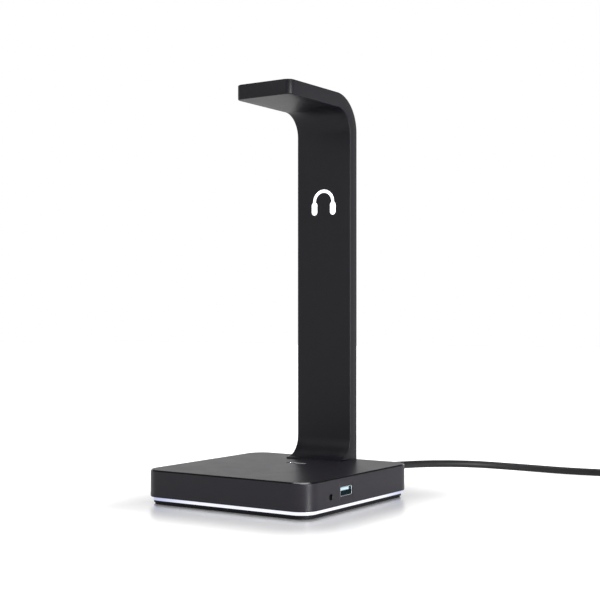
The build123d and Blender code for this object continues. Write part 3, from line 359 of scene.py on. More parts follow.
ring_profile = rounded([
    (ring_inset, ring_low.z),
    (ring_inset, housing_low.z),
    (lip_inset, housing_low.z),
    (lip_inset, ring_high.z),
    (ring_inset + ring_width, ring_high.z),
    (ring_inset + ring_width, ring_low.z),
], 0.15 * mm)

opal = Finish("opal_acrylic", (0.10, 0.10, 0.11), 0.28, emission_strength=0.95, ior=1.45)
across_lamp, along_lamp, _ = opal.axes(1 / lamp_pitch)


def lamp_glow(place):
    """Height of a bright patch every lamp: half of 1 + cos(2 pi (place + 1/2))."""
    swing = opal.node("ShaderNodeMath", {0: (place + 0.5) * (2 * np.pi)}, operation="COSINE")
    return 0.5 + 0.5 * swing


spots = lamp_glow(across_lamp) * lamp_glow(along_lamp)
# the two corners furthest from a lamp glow weaker and bluer: x y is near + half^2 at both
opal_x, opal_y, _ = opal.axes(1 / base_half)
far_corner = opal.ramp(opal_x * opal_y, 0.25, 1.0, 0.0, 1.0)
opal_glow = opal.blend(spots, (0.89, 0.91, 1.0), (0.98, 0.98, 1.0))
opal.drive("Emission Color", opal.blend(far_corner, opal_glow, (0.38, 0.43, 0.70)))
opal.drive("Roughness", 0.24 + 0.1 * opal.noise(2 * mm))
(Shell().grid(base_rings(ring_profile), round_rows=True, round_columns=True)
 .piece("light_ring_skin", opal, "light_guide", ["light_ring"]))

# -------- main board
# Hub board with its chips, capacitors, crystal and headers, screwed on four moulded posts, and
# the steel bar beside it that keeps the stand steady. All of it sits inside the closed base.
screw_steel = Finish("screw_steel", (0.42, 0.42, 0.43), 0.32, 1.0)
screw_steel.cloudy(0.8 * mm, (0.36, 0.36, 0.38), (0.5, 0.5, 0.5), 0.26, 0.16)
ballast_steel = Finish("ballast_steel", (0.3, 0.3, 0.31), 0.5, 1.0)
mill_marks = ballast_steel.cloudy(0.6 * mm, (0.22, 0.22, 0.23), (0.38, 0.38, 0.39), 0.4, 0.2,
                                  detail=4.0, stretch=(1.0, 0.05, 1.0))
ballast_steel.grain(mill_marks, 0.02 * mm)
can_metal = Finish("can_metal", (0.62, 0.62, 0.64), 0.25, 1.0)
can_metal.drive("Roughness", 0.18 + 0.16 * can_metal.noise(1.5 * mm))
black_plastic = Finish("black_plastic", (0.012, 0.012, 0.012), 0.42)
black_plastic.cloudy(1.2 * mm, (0.009, 0.009, 0.010), (0.016, 0.016, 0.017), 0.36, 0.14)
white_plastic = Finish("white_plastic", (0.72, 0.71, 0.66), 0.4)
white_plastic.cloudy(1.5 * mm, (0.68, 0.67, 0.61), (0.78, 0.77, 0.73))
gold = Finish("contact_gold", (0.83, 0.62, 0.28), 0.24, 1.0)
gold.cloudy(0.5 * mm, (0.74, 0.54, 0.24), (0.90, 0.70, 0.36), 0.18, 0.16)
wire_plastic = Finish("wire_plastic", (0.10, 0.10, 0.11), 0.45)
wire_plastic.cloudy(1.4 * mm, (0.08, 0.08, 0.09), (0.14, 0.14, 0.15))
nickel = Finish("nickel_steel", (0.66, 0.67, 0.68), 0.22, 1.0)
nickel.cloudy(0.5 * mm, (0.58, 0.59, 0.61), (0.74, 0.74, 0.75), 0.16, 0.14, stretch=(0.15, 1.0, 1.0))

screw_steel.dress("base_screws", "board_screws", "clamp_screws", "stem_screws")
ballast_steel.dress("ballast_plate")
can_metal.dress("board_capacitors", "board_crystal")
black_plastic.dress("board_chips", "audio_jack_body")
white_plastic.dress("ribbon_header", "cable_header", "plug_insert")
gold.dress("audio_jack_contacts", "side_usb_contacts", "top_usb_contacts", "plug_contacts")
wire_plastic.dress("lead_wires", "emblem_ribbon")
nickel.dress("cable_clamp")

# -------- USB-A sockets
# Nickel-plated sheet-steel shells with a rolled mouth and two spring leaves in each broad side.
# The tongue inside is a pale blue moulding. Painted shade darkens shells and tongues deeper in than the
# mouth, and a painted glow lights the tongue's front.


class SocketFinish(Finish):
    """A finish for parts of the two sockets, with painted shade deeper in than the mouth."""

    def in_light(self, depth):
        """1 within depth of the housing's side or top face, otherwise 0."""
        x, _, z = self.axes()
        return (x > housing_high.x - depth) | (z > housing_high.z - depth)


socket_steel = SocketFinish("socket_steel", (0.62, 0.64, 0.66), 0.22, 1.0, emission_strength=1.0)
socket_rolling = socket_steel.noise(0.5 * mm, 3.0, (0.15, 1.0, 1.0))
socket_rim = socket_steel.blend(socket_rolling, (0.52, 0.54, 0.56), (0.70, 0.71, 0.72))
socket_front = socket_steel.in_light(0.5 * mm)
# painted shade: the steel is near black deeper than 0.5 mm behind the mouth
socket_steel.tint(socket_front, (0.060, 0.068, 0.075), socket_rim)
# painted light: a faint blue glow, emitted by the steel itself, in the depth of the socket
socket_painted_glow = socket_steel.blend(socket_front, (0.009, 0.017, 0.022), (0.0, 0.0, 0.0))
socket_steel.drive("Emission Color", socket_painted_glow)
socket_steel.drive("Roughness", 0.18 + 0.14 * socket_rolling)
usb_half_width = 6.85 * mm
usb_half_height = 2.95 * mm
usb_corner = 0.9 * mm
usb_wall = 0.35 * mm
leaf_centre = 2.5 * mm
leaf_half_width = 0.75 * mm
leaf_start = 2.9 * mm
leaf_length = 4.7 * mm
leaf_dip = 0.42 * mm
leaf_thickness = 0.12 * mm
leaf_overlap = 0.02 * mm


def facing(origin, across, up, out):
    """Turns points given as (across, up, depth behind the origin's plane) into place."""
    turn = np.array([across, up, np.negative(out)], float)
    return lambda points: np.asarray(points) @ turn + np.array(origin)


def usb_shell(name, mouth, length, stands_for):
    """Sleeve of rounded rectangles: outside to the mouth, over its rolled edge, and back inside.

    A leaf dips from the wall by dip * sin^2(pi s) with s along its length.
    """
    profile = rounded([(0.0, length), (0.0, 0.0), (usb_wall, 0.0), (usb_wall, length)], 0.13 * mm)
    rings = tube(usb_half_width, usb_half_height, usb_corner, profile, steps=6)
    shell = Shell().grid(mouth(rings), round_rows=True, round_columns=True)
    s = np.linspace(0, 1, 13)
    loop = np.array([(-1, 0), (1, 0), (1, 1), (-1, 1)])
    for side in (-1, 1):
        for leaf in (-leaf_centre, leaf_centre):
            dip = leaf_dip * np.sin(np.pi * s) ** 2
            across = leaf + leaf_half_width * loop[:, 0]
            wall = usb_half_height - usb_wall + leaf_overlap
            up = side * (wall - dip[:, None] - leaf_thickness * loop[None, :, 1])
            depth = np.broadcast_to((leaf_start + leaf_length * s)[:, None], up.shape)
            leaf_grid = np.stack([np.broadcast_to(across, up.shape), up, depth], axis=-1)
            shell.grid(mouth(leaf_grid), round_columns=True)
            for end in (0, -1):
                shell.add(mouth(leaf_grid[end]), [[0, 1, 2, 3]])
    return shell.piece(name, socket_steel, "socket_steel", [stands_for])


tongue_blue = SocketFinish("tongue_plastic", (0.3, 0.42, 0.46), 0.3, emission_strength=0.4)
tongue_cloud = tongue_blue.noise(2.5 * mm)
tongue_front = tongue_blue.in_light(3.2 * mm)
# painted shade deeper than 3.2 mm from the housing's face, and a painted glow, as emission, on the tongue's
# front
tongue_blue.tint(tongue_front, (0.010, 0.016, 0.020),
                 tongue_blue.blend(tongue_cloud, (0.24, 0.33, 0.38), (0.32, 0.42, 0.47)))
tongue_painted_glow = tongue_blue.blend(tongue_front, (0.045, 0.070, 0.084), (0.46, 0.60, 0.68))
tongue_blue.drive("Emission Color", tongue_painted_glow)
tongue_blue.drive("Roughness", 0.24 + 0.14 * tongue_cloud)
tongue_blue.dress("side_usb_insulator", "top_usb_insulator")

side_low, side_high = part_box("side_usb_shell")
side_centre = ((side_low.y + side_high.y) / 2, side_high.z - usb_half_height)
side_length = side_high.x - side_low.x
side_mouth = facing((side_high.x, *side_centre), (0, 1, 0), (0, 0, 1), (1, 0, 0))
usb_shell("side_usb_sleeve", side_mouth, side_length, "side_usb_shell")

top_low, top_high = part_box("top_usb_shell")
top_centre = ((top_low.x + top_high.x) / 2, (top_low.y + top_high.y) / 2)
board_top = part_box("main_board")[1].z
top_mouth = facing((*top_centre, top_high.z), (1, 0, 0), (0, 1, 0), (0, 0, 1))
usb_shell("top_usb_sleeve", top_mouth, top_high.z - board_top, "top_usb_shell")

# -------- housing
# Die-cast aluminium shell with a satin black powder coat, faintly violet and finely textured. Its
# top edge is bevelled, and the wall and top are milled out for the sockets, jack and cable.
housing_wall = 2.8 * mm
housing_roof = 2.2 * mm
top_bevel = 0.85 * mm
edge_soft = 0.05 * mm
window_gap = 0.15 * mm
window_soft = 0.12 * mm
jack_bore = 1.8 * mm
jack_nose = 2.85 * mm
jack_face = 0.8 * mm
jack_lead_in = 0.25 * mm
cable_hole = 4.0 * mm
window_margin = 1.9 * mm
side_span = 2 * (base_half - base_corner)
roof_under = housing_high.z - housing_roof

jack_mount = next(m for m in frame["record"]["mounts"] if m["name"] == "audio_jack")
jack_centre = (jack_mount["pos_m"][1], jack_mount["pos_m"][2])
lead_low, lead_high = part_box("inner_lead")
cable_exit = Vector((0.0, base_half, (lead_low.z + lead_high.z) / 2))


def side_share(place):
    """Share of a side's straight run at which that place along it lies."""
    return 0.5 + place / side_span


def cell(centre, half_width):
    """Stretch of a wall that a window and its margins take up."""
    return centre - half_width - window_margin, centre + half_width + window_margin


usb_cell = cell(side_centre[0], usb_half_width)
jack_cell = cell(jack_centre[0], jack_nose)
cable_cell = cell(0.0, cable_hole)
near_end = 0.02
housing_stops = [
    [near_end, *map(side_share, (*jack_cell, *usb_cell)), 1 - near_end],
    [near_end, *map(side_share, cable_cell), 1 - near_end],
    [near_end, 0.5, 1 - near_end],
    [near_end, 0.5, 1 - near_end],
]
inner_edge = 0.1 * mm
lower_edge = 0.5 * mm
below_cells = 1.3 * mm
above_cells = 2.4 * mm
top_rim = 3 * mm
wall_low = housing_low.z + below_cells
wall_high = housing_high.z - above_cells
housing_profile = rounded([
    (housing_wall, roof_under), (housing_wall, wall_high), (housing_wall, wall_low),
    (housing_wall, housing_low.z), (0.0, housing_low.z), (0.0, wall_low), (0.0, wall_high),
    (0.0, housing_high.z - top_bevel), (top_bevel, housing_high.z), (top_rim, housing_high.z),
], np.array([0, 0, 0, inner_edge, lower_edge, 0, 0, edge_soft, edge_soft, 0]))
housing_rings = base_rings(housing_profile, housing_stops)
ring_heights = np.array([height for _, height in housing_profile])
top_window = outline(usb_half_width + window_gap, usb_half_height + window_gap, usb_corner, housing_stops)
window_steps = ((window_soft, housing_high.z), (0.0, housing_high.z - window_soft), (0.0, roof_under))
window_rings = [level(top_window * (1 + grow / usb_half_width) + np.array(top_centre), height)
                for grow, height in window_steps]
housing_grid = np.concatenate([housing_rings, window_rings])

# which quads of the wall make way for the windows' own patches
row_middle = np.append(ring_heights[:-1] + ring_heights[1:], 4 * housing_high.z) / 2
row_span = np.append(np.abs(np.diff(ring_heights)), 0)
tall_row = 5 * mm
beside_wall = base_half - 4 * mm
in_wall = np.zeros(len(housing_grid), bool)
in_wall[:len(row_middle)] = (row_span > tall_row) & (row_middle < housing_high.z)
middle = (housing_rings[-1] + np.roll(housing_rings[-1], -1, axis=0)) / 2
on_right = middle[:, 0] > beside_wall
on_rear = middle[:, 1] > beside_wall
in_cell = np.zeros(len(middle), bool)
for low_end, high_end in (usb_cell, jack_cell):
    in_cell |= on_right & (middle[:, 1] > low_end) & (middle[:, 1] < high_end)
in_cell |= on_rear & (np.abs(middle[:, 0]) < cable_cell[1])
keep_wall = ~(in_wall[:, None] & in_cell[None, :])
housing_shell = Shell().grid(housing_grid, round_rows=True, round_columns=True, keep=keep_wall)


def window(centre, across, out, hole, half_cell, rows):
    """A hole through a wall of the housing: cell corners, hole edge, through the wall, and back.

    rows gives (inset of the hole, depth) pairs. Each quarter of the hole's outline is fanned to
    the cell's corner in that quarter. The cell reaches half_cell to each side of the centre.
    """
    low, high = wall_low - centre[2], wall_high - centre[2]
    edges = tube(*hole, rows, steps=8)
    corners = [(half_cell, high), (-half_cell, high), (-half_cell, low), (half_cell, low)]
    fan = np.repeat(corners, edges.shape[1] // 4, axis=0)
    grid = np.concatenate([[level(fan, 0.0)], edges, [level(fan, housing_wall)]])
    housing_shell.grid(facing(centre, across, (0, 0, 1), out)(grid), round_columns=True)


soft_mouth = [(-window_soft, 0.0), (-0.3 * window_soft, 0.3 * window_soft), (0.0, window_soft)]
window((base_half, *side_centre), (0, 1, 0), (1, 0, 0),
       (usb_half_width + window_gap, usb_half_height + window_gap, usb_corner + window_gap),
       usb_half_width + window_margin, [*soft_mouth, (0.0, housing_wall)])
window((base_half, *jack_centre), (0, 1, 0), (1, 0, 0), (jack_bore,) * 3, jack_nose + window_margin,
       [(-jack_lead_in, 0.0), (0.0, jack_lead_in), (0.0, jack_face), (jack_bore - jack_nose, jack_face),
        (jack_bore - jack_nose, housing_wall)])
window(cable_exit, (-1, 0, 0), (0, 1, 0), (cable_hole,) * 3, cable_hole + window_margin,
       [*soft_mouth, (0.0, housing_wall)])

housing_paint = Finish("satin_black_housing", (0.020, 0.019, 0.022), 0.36, ior=1.28)
paint_cloud = housing_paint.noise(14 * mm, 4.0)
paint_speck = housing_paint.noise(0.28 * mm, 2.0)
paint_tone_and_shade = housing_paint.blend(paint_cloud, (0.0122, 0.0110, 0.0152), (0.0156, 0.0141, 0.0186))
paint_height = housing_paint.axes()[2]
bevel_skin = 0.02 * mm
above_bevel = paint_height > housing_high.z - bevel_skin
on_bevel = (paint_height > housing_high.z - top_bevel + bevel_skin) * (1.0 - above_bevel)
# painted shade: the paint turns near black inside the jack's hole and its lead-in
from_jack = housing_paint.vectors("DISTANCE", housing_paint.place(), (base_half, *jack_centre), out="Value")
paint_tone_and_shade = housing_paint.blend(from_jack > jack_bore + 1.1 * jack_lead_in, (0.001, 0.001, 0.001), paint_tone_and_shade)
housing_paint.tint(on_bevel, paint_tone_and_shade, (0.085, 0.084, 0.087))
housing_paint.drive("Metallic", on_bevel)
housing_paint.drive("Roughness", 0.30 + 0.08 * paint_cloud + 0.05 * paint_speck - 0.20 * on_bevel)
housing_paint.grain(paint_speck, 0.012 * mm)
housing_shell.piece("housing_skin", housing_paint, "housing_metal", ["base_housing"], crease=25)

# -------- stem
# A 9 to 10 mm slab of aluminium, bent once and black anodised over a fine brushed surface. It is
# screwed to the base from below, where its front sweeps forward into the base's top.
stem_low, stem_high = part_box("stem")
stem_half = stem_high.x
stem_edge = 0.8 * mm
tip_corner = 5 * mm
stem_thickness = 9 * mm
arm_thickness = 9.9 * mm
column_front = stem_high.y - stem_thickness
arm_under = stem_high.z - arm_thickness
bend_inside = 16 * mm
bend_outside = bend_inside + stem_thickness
foot_radius = 14 * mm
foot_lip = 0.9 * mm
bend_centre = np.array([column_front - bend_inside, arm_under - bend_inside])
back_centre = np.array([stem_high.y - bend_outside, stem_high.z - bend_outside])
foot_centre = np.array([column_front - foot_radius, stem_low.z + foot_lip + foot_radius])
cover_low, cover_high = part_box("stem_cover")
cover_gap = 0.2 * mm
recess_half = cover_high.x + cover_gap
recess_top = cover_high.z + cover_gap
guide_low, guide_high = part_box("emblem_light_guide")
mark_height = (guide_low.z + guide_high.z) / 2
mark_cell = 14 * mm


def stem_rows():
    """Rows down the slab as (front point, inward direction, rear point, inward direction, tip angle).

    Points are (Y, Z). The rows run round the tip's corner, along the arm, round the bend as
    centre + radius (sin, cos), down the column, and round the foot's sweep.
    """
    rows = []
    tip = np.array([stem_low.y + tip_corner, 0.0])
    for angle in np.linspace(np.pi / 2, 0, 13):
        rows.append((tip + (0, arm_under), (0, 1), tip + (0, stem_high.z), (0, -1), angle))
    for y in np.linspace(stem_low.y + tip_corner, bend_centre[0], 6)[1:-1]:
        rows.append(((y, arm_under), (0, 1), (y, stem_high.z), (0, -1), 0))
    for angle in np.linspace(0, np.pi / 2, 33):
        out = np.array([np.sin(angle), np.cos(angle)])
        rows.append((bend_centre + bend_inside * out, out, back_centre + bend_outside * out, -out, 0))
    for z in (240 * mm, recess_top, mark_height + mark_cell, mark_height - mark_cell, 120 * mm, 45 * mm):
        rows.append(((column_front, z), (1, 0), (stem_high.y, z), (-1, 0), 0))
    for angle in np.linspace(0, np.pi / 2, 21):
        out = np.array([np.cos(angle), -np.sin(angle)])
        front = foot_centre + foot_radius * out
        rows.append((front, out, (stem_high.y, front[1]), (-1, 0), 0))
    toe = column_front - foot_radius
    for z in (stem_low.z + foot_lip, stem_low.z):
        rows.append(((toe, z), (1, 0), (stem_high.y, z), (-1, 0), 0))
    return [np.array(part, float) for part in zip(*rows)]


front_at, front_in, rear_at, rear_in, tip_angle = stem_rows()
soft = np.linspace(0, np.pi / 2, 6)
edge_inset = stem_edge * (1 - np.sin(soft))
edge_depth = stem_edge * (1 - np.cos(soft))
front_across = np.array([-mark_cell, 0, mark_cell])
rear_across = np.array([recess_half, 0, -recess_half])
flat = np.zeros(3)
# columns of the section: (inset, depth, from the front, side or place across)
section = [
    (np.full(3, stem_edge), flat, np.ones(3), flat, front_across),
    (edge_inset, edge_depth, np.ones(6), np.ones(6), np.zeros(6)),
    (edge_inset[::-1], edge_depth[::-1], np.zeros(6), np.ones(6), np.zeros(6)),
    (np.full(3, stem_edge), flat, np.zeros(3), flat, rear_across),
    (edge_inset, edge_depth, np.zeros(6), -np.ones(6), np.zeros(6)),
    (edge_inset[::-1], edge_depth[::-1], np.ones(6), -np.ones(6), np.zeros(6)),
]
inset, depth, in_front, side, across = (np.concatenate(part) for part in zip(*section))
reach = (tip_corner - inset)[None, :]
half = stem_half - tip_corner + reach * np.cos(tip_angle)[:, None]
stem_x = np.where(side[None, :] != 0, side * half, across / (stem_half - stem_edge) * half)
anchor = np.where(in_front[None, :, None] > 0, front_at[:, None], rear_at[:, None])
inward = np.where(in_front[None, :, None] > 0, front_in[:, None], rear_in[:, None])
stem_yz = anchor + inward * depth[None, :, None]
stem_yz[..., 0] -= reach * np.sin(tip_angle)[:, None]
stem_grid = np.concatenate([stem_x[..., None], stem_yz], axis=-1)
row_height = (anchor[:-1, 0, 1] + anchor[1:, 0, 1]) / 2
on_column = anchor[:-1, 0, 0] >= column_front - 0.1 * mm
keep_stem = np.ones((len(stem_grid) - 1, stem_grid.shape[1]), bool)
mark_rows = on_column & (np.abs(row_height - mark_height) < mark_cell)
keep_stem[np.ix_(mark_rows, [0, 1])] = False
recess_rows = (front_at[:-1, 1] < recess_top + 0.1 * mm) & (front_at[:-1, 0] > bend_centre[0])
first_front_edge = len(front_across)
first_rear = first_front_edge + 2 * len(soft)
keep_stem[np.ix_(recess_rows, [first_rear, first_rear + 1])] = False
stem_shell = Shell().grid(stem_grid, round_columns=True, keep=keep_stem)
# the tip's straight edge, from the last right-hand column to the last left-hand one
tip_right = stem_grid[0, first_front_edge:first_rear]
tip_left = tip_right * (-1, 1, 1)
stem_shell.grid(np.array([tip_right, tip_left])).patch(stem_grid[-1])
# recess for the cover
recess_depth = 1.2 * mm
recess_x = np.array([-recess_half, recess_half, recess_half, -recess_half])
recess_rim = np.column_stack([recess_x, np.full(4, stem_high.y),
                              [stem_low.z, stem_low.z, recess_top, recess_top]])
recess_floor = recess_rim + (0, cover_high.y - recess_depth - stem_high.y, 0)
stem_shell.grid(np.array([recess_rim, recess_floor]), round_columns=True).patch(recess_floor)

emblem_radius = 8.7 * mm
emblem_stroke = 2.2 * mm
pad_x = emblem_radius - emblem_stroke / 2
pad_top_z = -2.3 * mm
pad_bottom_z = -6.9 * mm
pad_radius = 2.3 * mm


def headphone_mark(grow, steps=14):
    """Outline of a plain headphone pictogram, anticlockwise, grown by grow.

    An outer arc meets the outside of each ear pad where the circle of radius R about the centre
    cuts the pad's end circle, and the inner arc meets the inside in the same way.
    """
    r = pad_radius + grow
    between = np.hypot(pad_x, pad_top_z)
    lean = np.arctan2(pad_top_z, pad_x)

    def joint(radius):
        """Angles of the meeting point, seen from the mark's centre and from the pad's."""
        near = (radius ** 2 - r ** 2 + between ** 2) / (2 * between)
        turn = lean + np.arccos(near / radius)
        x, z = radius * np.cos(turn) - pad_x, radius * np.sin(turn) - pad_top_z
        return turn, np.arctan2(z, x)

    outer_turn, outer_pad = joint(emblem_radius + grow)
    inner_turn, inner_pad = joint(emblem_radius - emblem_stroke - grow)
    outer = np.linspace(outer_turn, np.pi - outer_turn, 3 * steps)
    inner = np.linspace(np.pi - inner_turn, inner_turn, 3 * steps)
    pad_upper = np.linspace(inner_pad, np.pi, steps // 2)
    pad_lower = np.linspace(np.pi, 2 * np.pi, steps)
    pad_outer = np.linspace(0, outer_pad, steps // 2)
    right = np.concatenate([
        np.column_stack([pad_x + r * np.cos(pad_upper), pad_top_z + r * np.sin(pad_upper)]),
        np.column_stack([pad_x + r * np.cos(pad_lower), pad_bottom_z + r * np.sin(pad_lower)]),
        np.column_stack([pad_x + r * np.cos(pad_outer), pad_top_z + r * np.sin(pad_outer)]),
    ])
    left = right[::-1] * (-1, 1)
    outer_arc = (emblem_radius + grow) * np.column_stack([np.cos(outer), np.sin(outer)])
    inner_arc = (emblem_radius - emblem_stroke - grow) * np.column_stack([np.cos(inner), np.sin(inner)])
    return np.concatenate([outer_arc[1:-1], left, inner_arc[1:-1], right])


stem_front = facing((0.0, column_front, mark_height), (1, 0, 0), (0, 0, 1), (0, -1, 0))
mark_web = 3.2 * mm
mark_gap = 0.07 * mm
cell_loop = mark_cell * np.array([(-1, -1), (0, -1), (1, -1), (1, 1), (0, 1), (-1, 1)])
mark_hole, mark_end = (stem_front(level(headphone_mark(mark_gap), behind)) for behind in (0.0, mark_web))
stem_shell.patch(stem_front(level(cell_loop, 0.0)), mark_hole)
stem_shell.grid(np.array([mark_hole, mark_end]), round_columns=True).patch(mark_end)

stem_paint_and_shade = Finish("satin_black_stem", (0.009, 0.009, 0.012), 0.36, ior=1.28)
stem_cloud = stem_paint_and_shade.noise(16 * mm, 4.0)
brushing = stem_paint_and_shade.noise(0.3 * mm, 3.0, (0.02, 1.0, 1.0))
# painted shade: the stem's colour is set darker than the housing's paint, part way to the shade that a
# headset hung on the arm casts on the column
stem_paint_and_shade.tint(stem_cloud, (0.0045, 0.0043, 0.0068), (0.0066, 0.0063, 0.0092))
stem_paint_and_shade.drive("Roughness", 0.34 + 0.08 * stem_cloud + 0.08 * brushing)
stem_paint_and_shade.grain(brushing, 0.008 * mm)
stem_shell.piece("stem_skin", stem_paint_and_shade, "housing_metal", ["stem"], crease=28)

# -------- lit mark
# Opal acrylic light guide pushed into the stem from behind, so that a plain headphone pictogram
# stands flush with the metal. Four lamps on a small board behind it light it evenly.
mark_light = Finish("mark_light", (0.88, 0.90, 0.95), 0.3, emission_strength=0.95)
mark_cloud = mark_light.noise(6 * mm, 2.0)
mark_light.drive("Emission Color", mark_light.blend(mark_cloud, (0.86, 0.90, 0.98), (0.96, 0.98, 1.0)))
mark_soft = 0.12 * mm
mark_steps = ((-mark_soft, 0.0), (-0.3 * mark_soft, 0.3 * mark_soft), (0.0, mark_soft), (0.0, mark_web))
mark_rings = [stem_front(level(headphone_mark(grow), behind)) for grow, behind in mark_steps]
(Shell().grid(np.array(mark_rings), round_columns=True).patch(mark_rings[0]).patch(mark_rings[-1])
 .piece("mark_guide", mark_light, "light_guide", ["emblem_light_guide"]))

# -------- cover of the channel
# Strip of black polycarbonate that closes the wiring channel in the stem's back. It snaps into a
# shallow recess, flush with the metal, with a hair gap all round.
cover_plastic = Finish("cover_plastic", (0.014, 0.014, 0.016), 0.5, ior=1.45)
cover_plastic.cloudy(11 * mm, (0.012, 0.012, 0.014), (0.018, 0.018, 0.020), 0.44, 0.12)
cover_plastic.grain(cover_plastic.noise(0.3 * mm, 2.0), 0.02 * mm)
cover_half = (cover_high.z - cover_low.z) / 2
cover_place = facing((0.0, cover_high.y, cover_low.z + cover_half), (1, 0, 0), (0, 0, 1), (0, 1, 0))
cover_profile = np.array([(0.0, 1.15), (0.0, 0.25), (0.08, 0.08), (0.25, 0.0)]) * mm
cover_rings = cover_place(tube(cover_high.x, cover_half, 0.9 * mm, cover_profile, steps=5))
(Shell().grid(cover_rings, round_columns=True).patch(cover_rings[0]).patch(cover_rings[-1])
 .piece("cover_strip", cover_plastic, "black_plastic", ["stem_cover"]))

# -------- strain relief
# Sleeve of soft black PVC moulded round the cable where it leaves the base. It tapers, and four
# rings are cut in it so that it bends evenly.
cable_radius = 2.75 * mm
relief_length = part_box("strain_relief")[1].y - base_half
relief_root = 4.3 * mm
relief_tip = 3.5 * mm
relief_straight = 1.5 * mm
relief_grooves = 4
groove_pitch = relief_length / (relief_grooves + 2)
groove_depth = 0.75 * mm
groove_soft = 0.12 * mm
along_relief = np.linspace(0, 1, 91) * relief_length
tapered = np.clip((along_relief - relief_straight) / (relief_length - relief_straight), 0, 1)
relief_taper = relief_root + (relief_tip - relief_root) * tapered
groove_middles = (1.5 + np.arange(relief_grooves) + 1 / 6) * groove_pitch
from_groove = np.abs(along_relief[:, None] - groove_middles).min(axis=1)
groove = np.clip((groove_pitch / 6 + groove_soft - from_groove) / (2 * groove_soft), 0, 1)
relief_radius = relief_taper - groove_depth * groove * groove * (3 - 2 * groove)
relief_bore = cable_radius + 0.02 * mm
relief_profile = np.concatenate([
    [(cable_hole, -housing_wall)], [(cable_hole, 0.0)],
    np.column_stack([relief_radius, along_relief])[:-1],
    [(relief_tip - 0.1 * mm, relief_length - 0.03 * mm), (relief_tip - 0.3 * mm, relief_length)],
    [(relief_bore, relief_length), (relief_bore, -housing_wall)],
])
around = np.linspace(0, 2 * np.pi, 41)[:-1]
relief_x = relief_profile[:, :1] * np.cos(around)
relief_grid = np.stack([relief_x, np.broadcast_to(base_half + relief_profile[:, 1:], relief_x.shape),
                        cable_exit.z + relief_profile[:, :1] * np.sin(around)], axis=-1)
cable_rubber = Finish("cable_rubber", (0.010, 0.010, 0.011), 0.48, ior=1.36)
cable_rubber.cloudy(4 * mm, (0.0075, 0.0075, 0.0085), (0.0130, 0.0130, 0.0140), 0.42, 0.14)
cable_rubber.grain(cable_rubber.noise(0.4 * mm, 2.0), 0.02 * mm)
(Shell().grid(relief_grid, round_rows=True, round_columns=True)
 .piece("relief_sleeve", cable_rubber, "cable_rubber", ["strain_relief"]))
cable_rubber.dress("inner_lead")

# -------- cable
# Round PVC-jacketed USB cable, 1.5 m long and 5.5 mm thick. It drops to the desk behind the base
# and runs off to the side, where the spare length is wound into a neat coil and tied.
coil_centre = (207 * mm, 194 * mm)
coil_radius = 29 * mm
coil_strands = 7
coil_turns = 6.25
turn_points = 16
tie_thickness = 0.8 * mm
strand_ring = cable_radius / np.sin(np.pi / coil_strands)
coil_height = tie_thickness + strand_ring + cable_radius
first_strand = -np.pi / 2 + np.pi / coil_strands


def strand_place(turn):
    """Radius and height of the strand after so many turns: the strands lie round a small ring."""
    angle = first_strand - turn * 2 * np.pi / coil_strands
    return coil_radius + strand_ring * np.cos(angle), coil_height + strand_ring * np.sin(angle)


entry_radius, entry_height = strand_place(0.0)
exit_radius, exit_height = strand_place(coil_turns)
free_run = [
    (0.0, 64.0, 11.2), (0.0, 97.0, 11.2), (8.0, 136.0, 9.6), (19.0, 173.0, 8.2), (41.0, 206.0, 6.2),
    (75.0, 226.0, 3.6), (112.0, 230.5, 2.75),
]
cable_route = [np.array(point) * mm for point in free_run]
cable_route += [np.array([x * mm, coil_centre[1] + entry_radius, entry_height]) for x in (148.0, 180.0)]
# a point half a step past each tangent point, and out to where the tangents cross
half_step = np.pi / turn_points
for step in range(int(coil_turns * turn_points)):
    turn = (step + 0.5) / turn_points
    radius, height = strand_place(turn)
    angle = np.pi / 2 - 2 * np.pi * turn
    reach_out = radius / np.cos(half_step)
    cable_route.append(np.array([coil_centre[0] + reach_out * np.cos(angle),
                                 coil_centre[1] + reach_out * np.sin(angle), height]))
plug_height = 4.2 * mm
tail_x = coil_centre[0] + exit_radius
cable_route += [np.array([tail_x, y * mm, z]) for y, z in (
    (172.0, exit_height), (160.0, exit_height), (148.0, plug_height), (136.0, plug_height))]

cable_curve = bpy.data.curves.new("usb_lead", "CURVE")
cable_curve.dimensions = "3D"
cable_line = cable_curve.splines.new("NURBS")
cable_line.points.add(len(cable_route) - 1)
cable_line.points.foreach_set("co", np.column_stack([cable_route, np.ones(len(cable_route))]).ravel())
cable_line.order_u = 3
cable_line.use_endpoint_u = True
cable_line.resolution_u = 6
cable_curve.bevel_depth = cable_radius
cable_curve.bevel_resolution = 5
cable_curve.use_fill_caps = True
cable_curve.materials.append(cable_rubber.material)
usb_lead = new_object("usb_lead", cable_curve)
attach(usb_lead, "root")
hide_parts("usb_cable", "cable_coil", "cable_tail")

# -------- tie
# Hook-and-loop strip wrapped once round the bundle, on the side away from the plug: a woven nylon
# back with brushed loops.
tie_angle = 10 * mm / coil_radius
tie_inner = strand_ring + cable_radius + 0.05 * mm
tie_outer = strand_ring + cable_radius + tie_thickness
tie_edge = 0.2 * mm
tie_profile = rounded([(tie_outer, -tie_angle / 2), (tie_outer, tie_angle / 2),
                       (tie_inner, tie_angle / 2), (tie_inner, -tie_angle / 2)], tie_edge)
tie_turn = np.linspace(0, 2 * np.pi, 49)[:-1]
tie_distance = coil_radius + tie_profile[:, :1] * np.cos(tie_turn)
tie_place = np.pi + tie_profile[:, 1:]
tie_grid = np.stack([coil_centre[0] + tie_distance * np.cos(tie_place),
                     coil_centre[1] + tie_distance * np.sin(tie_place),
                     coil_height + tie_profile[:, :1] * np.sin(tie_turn)], axis=-1)
tie_fabric = Finish("tie_fabric", (0.02, 0.02, 0.022), 0.85, sheen_weight=0.3)
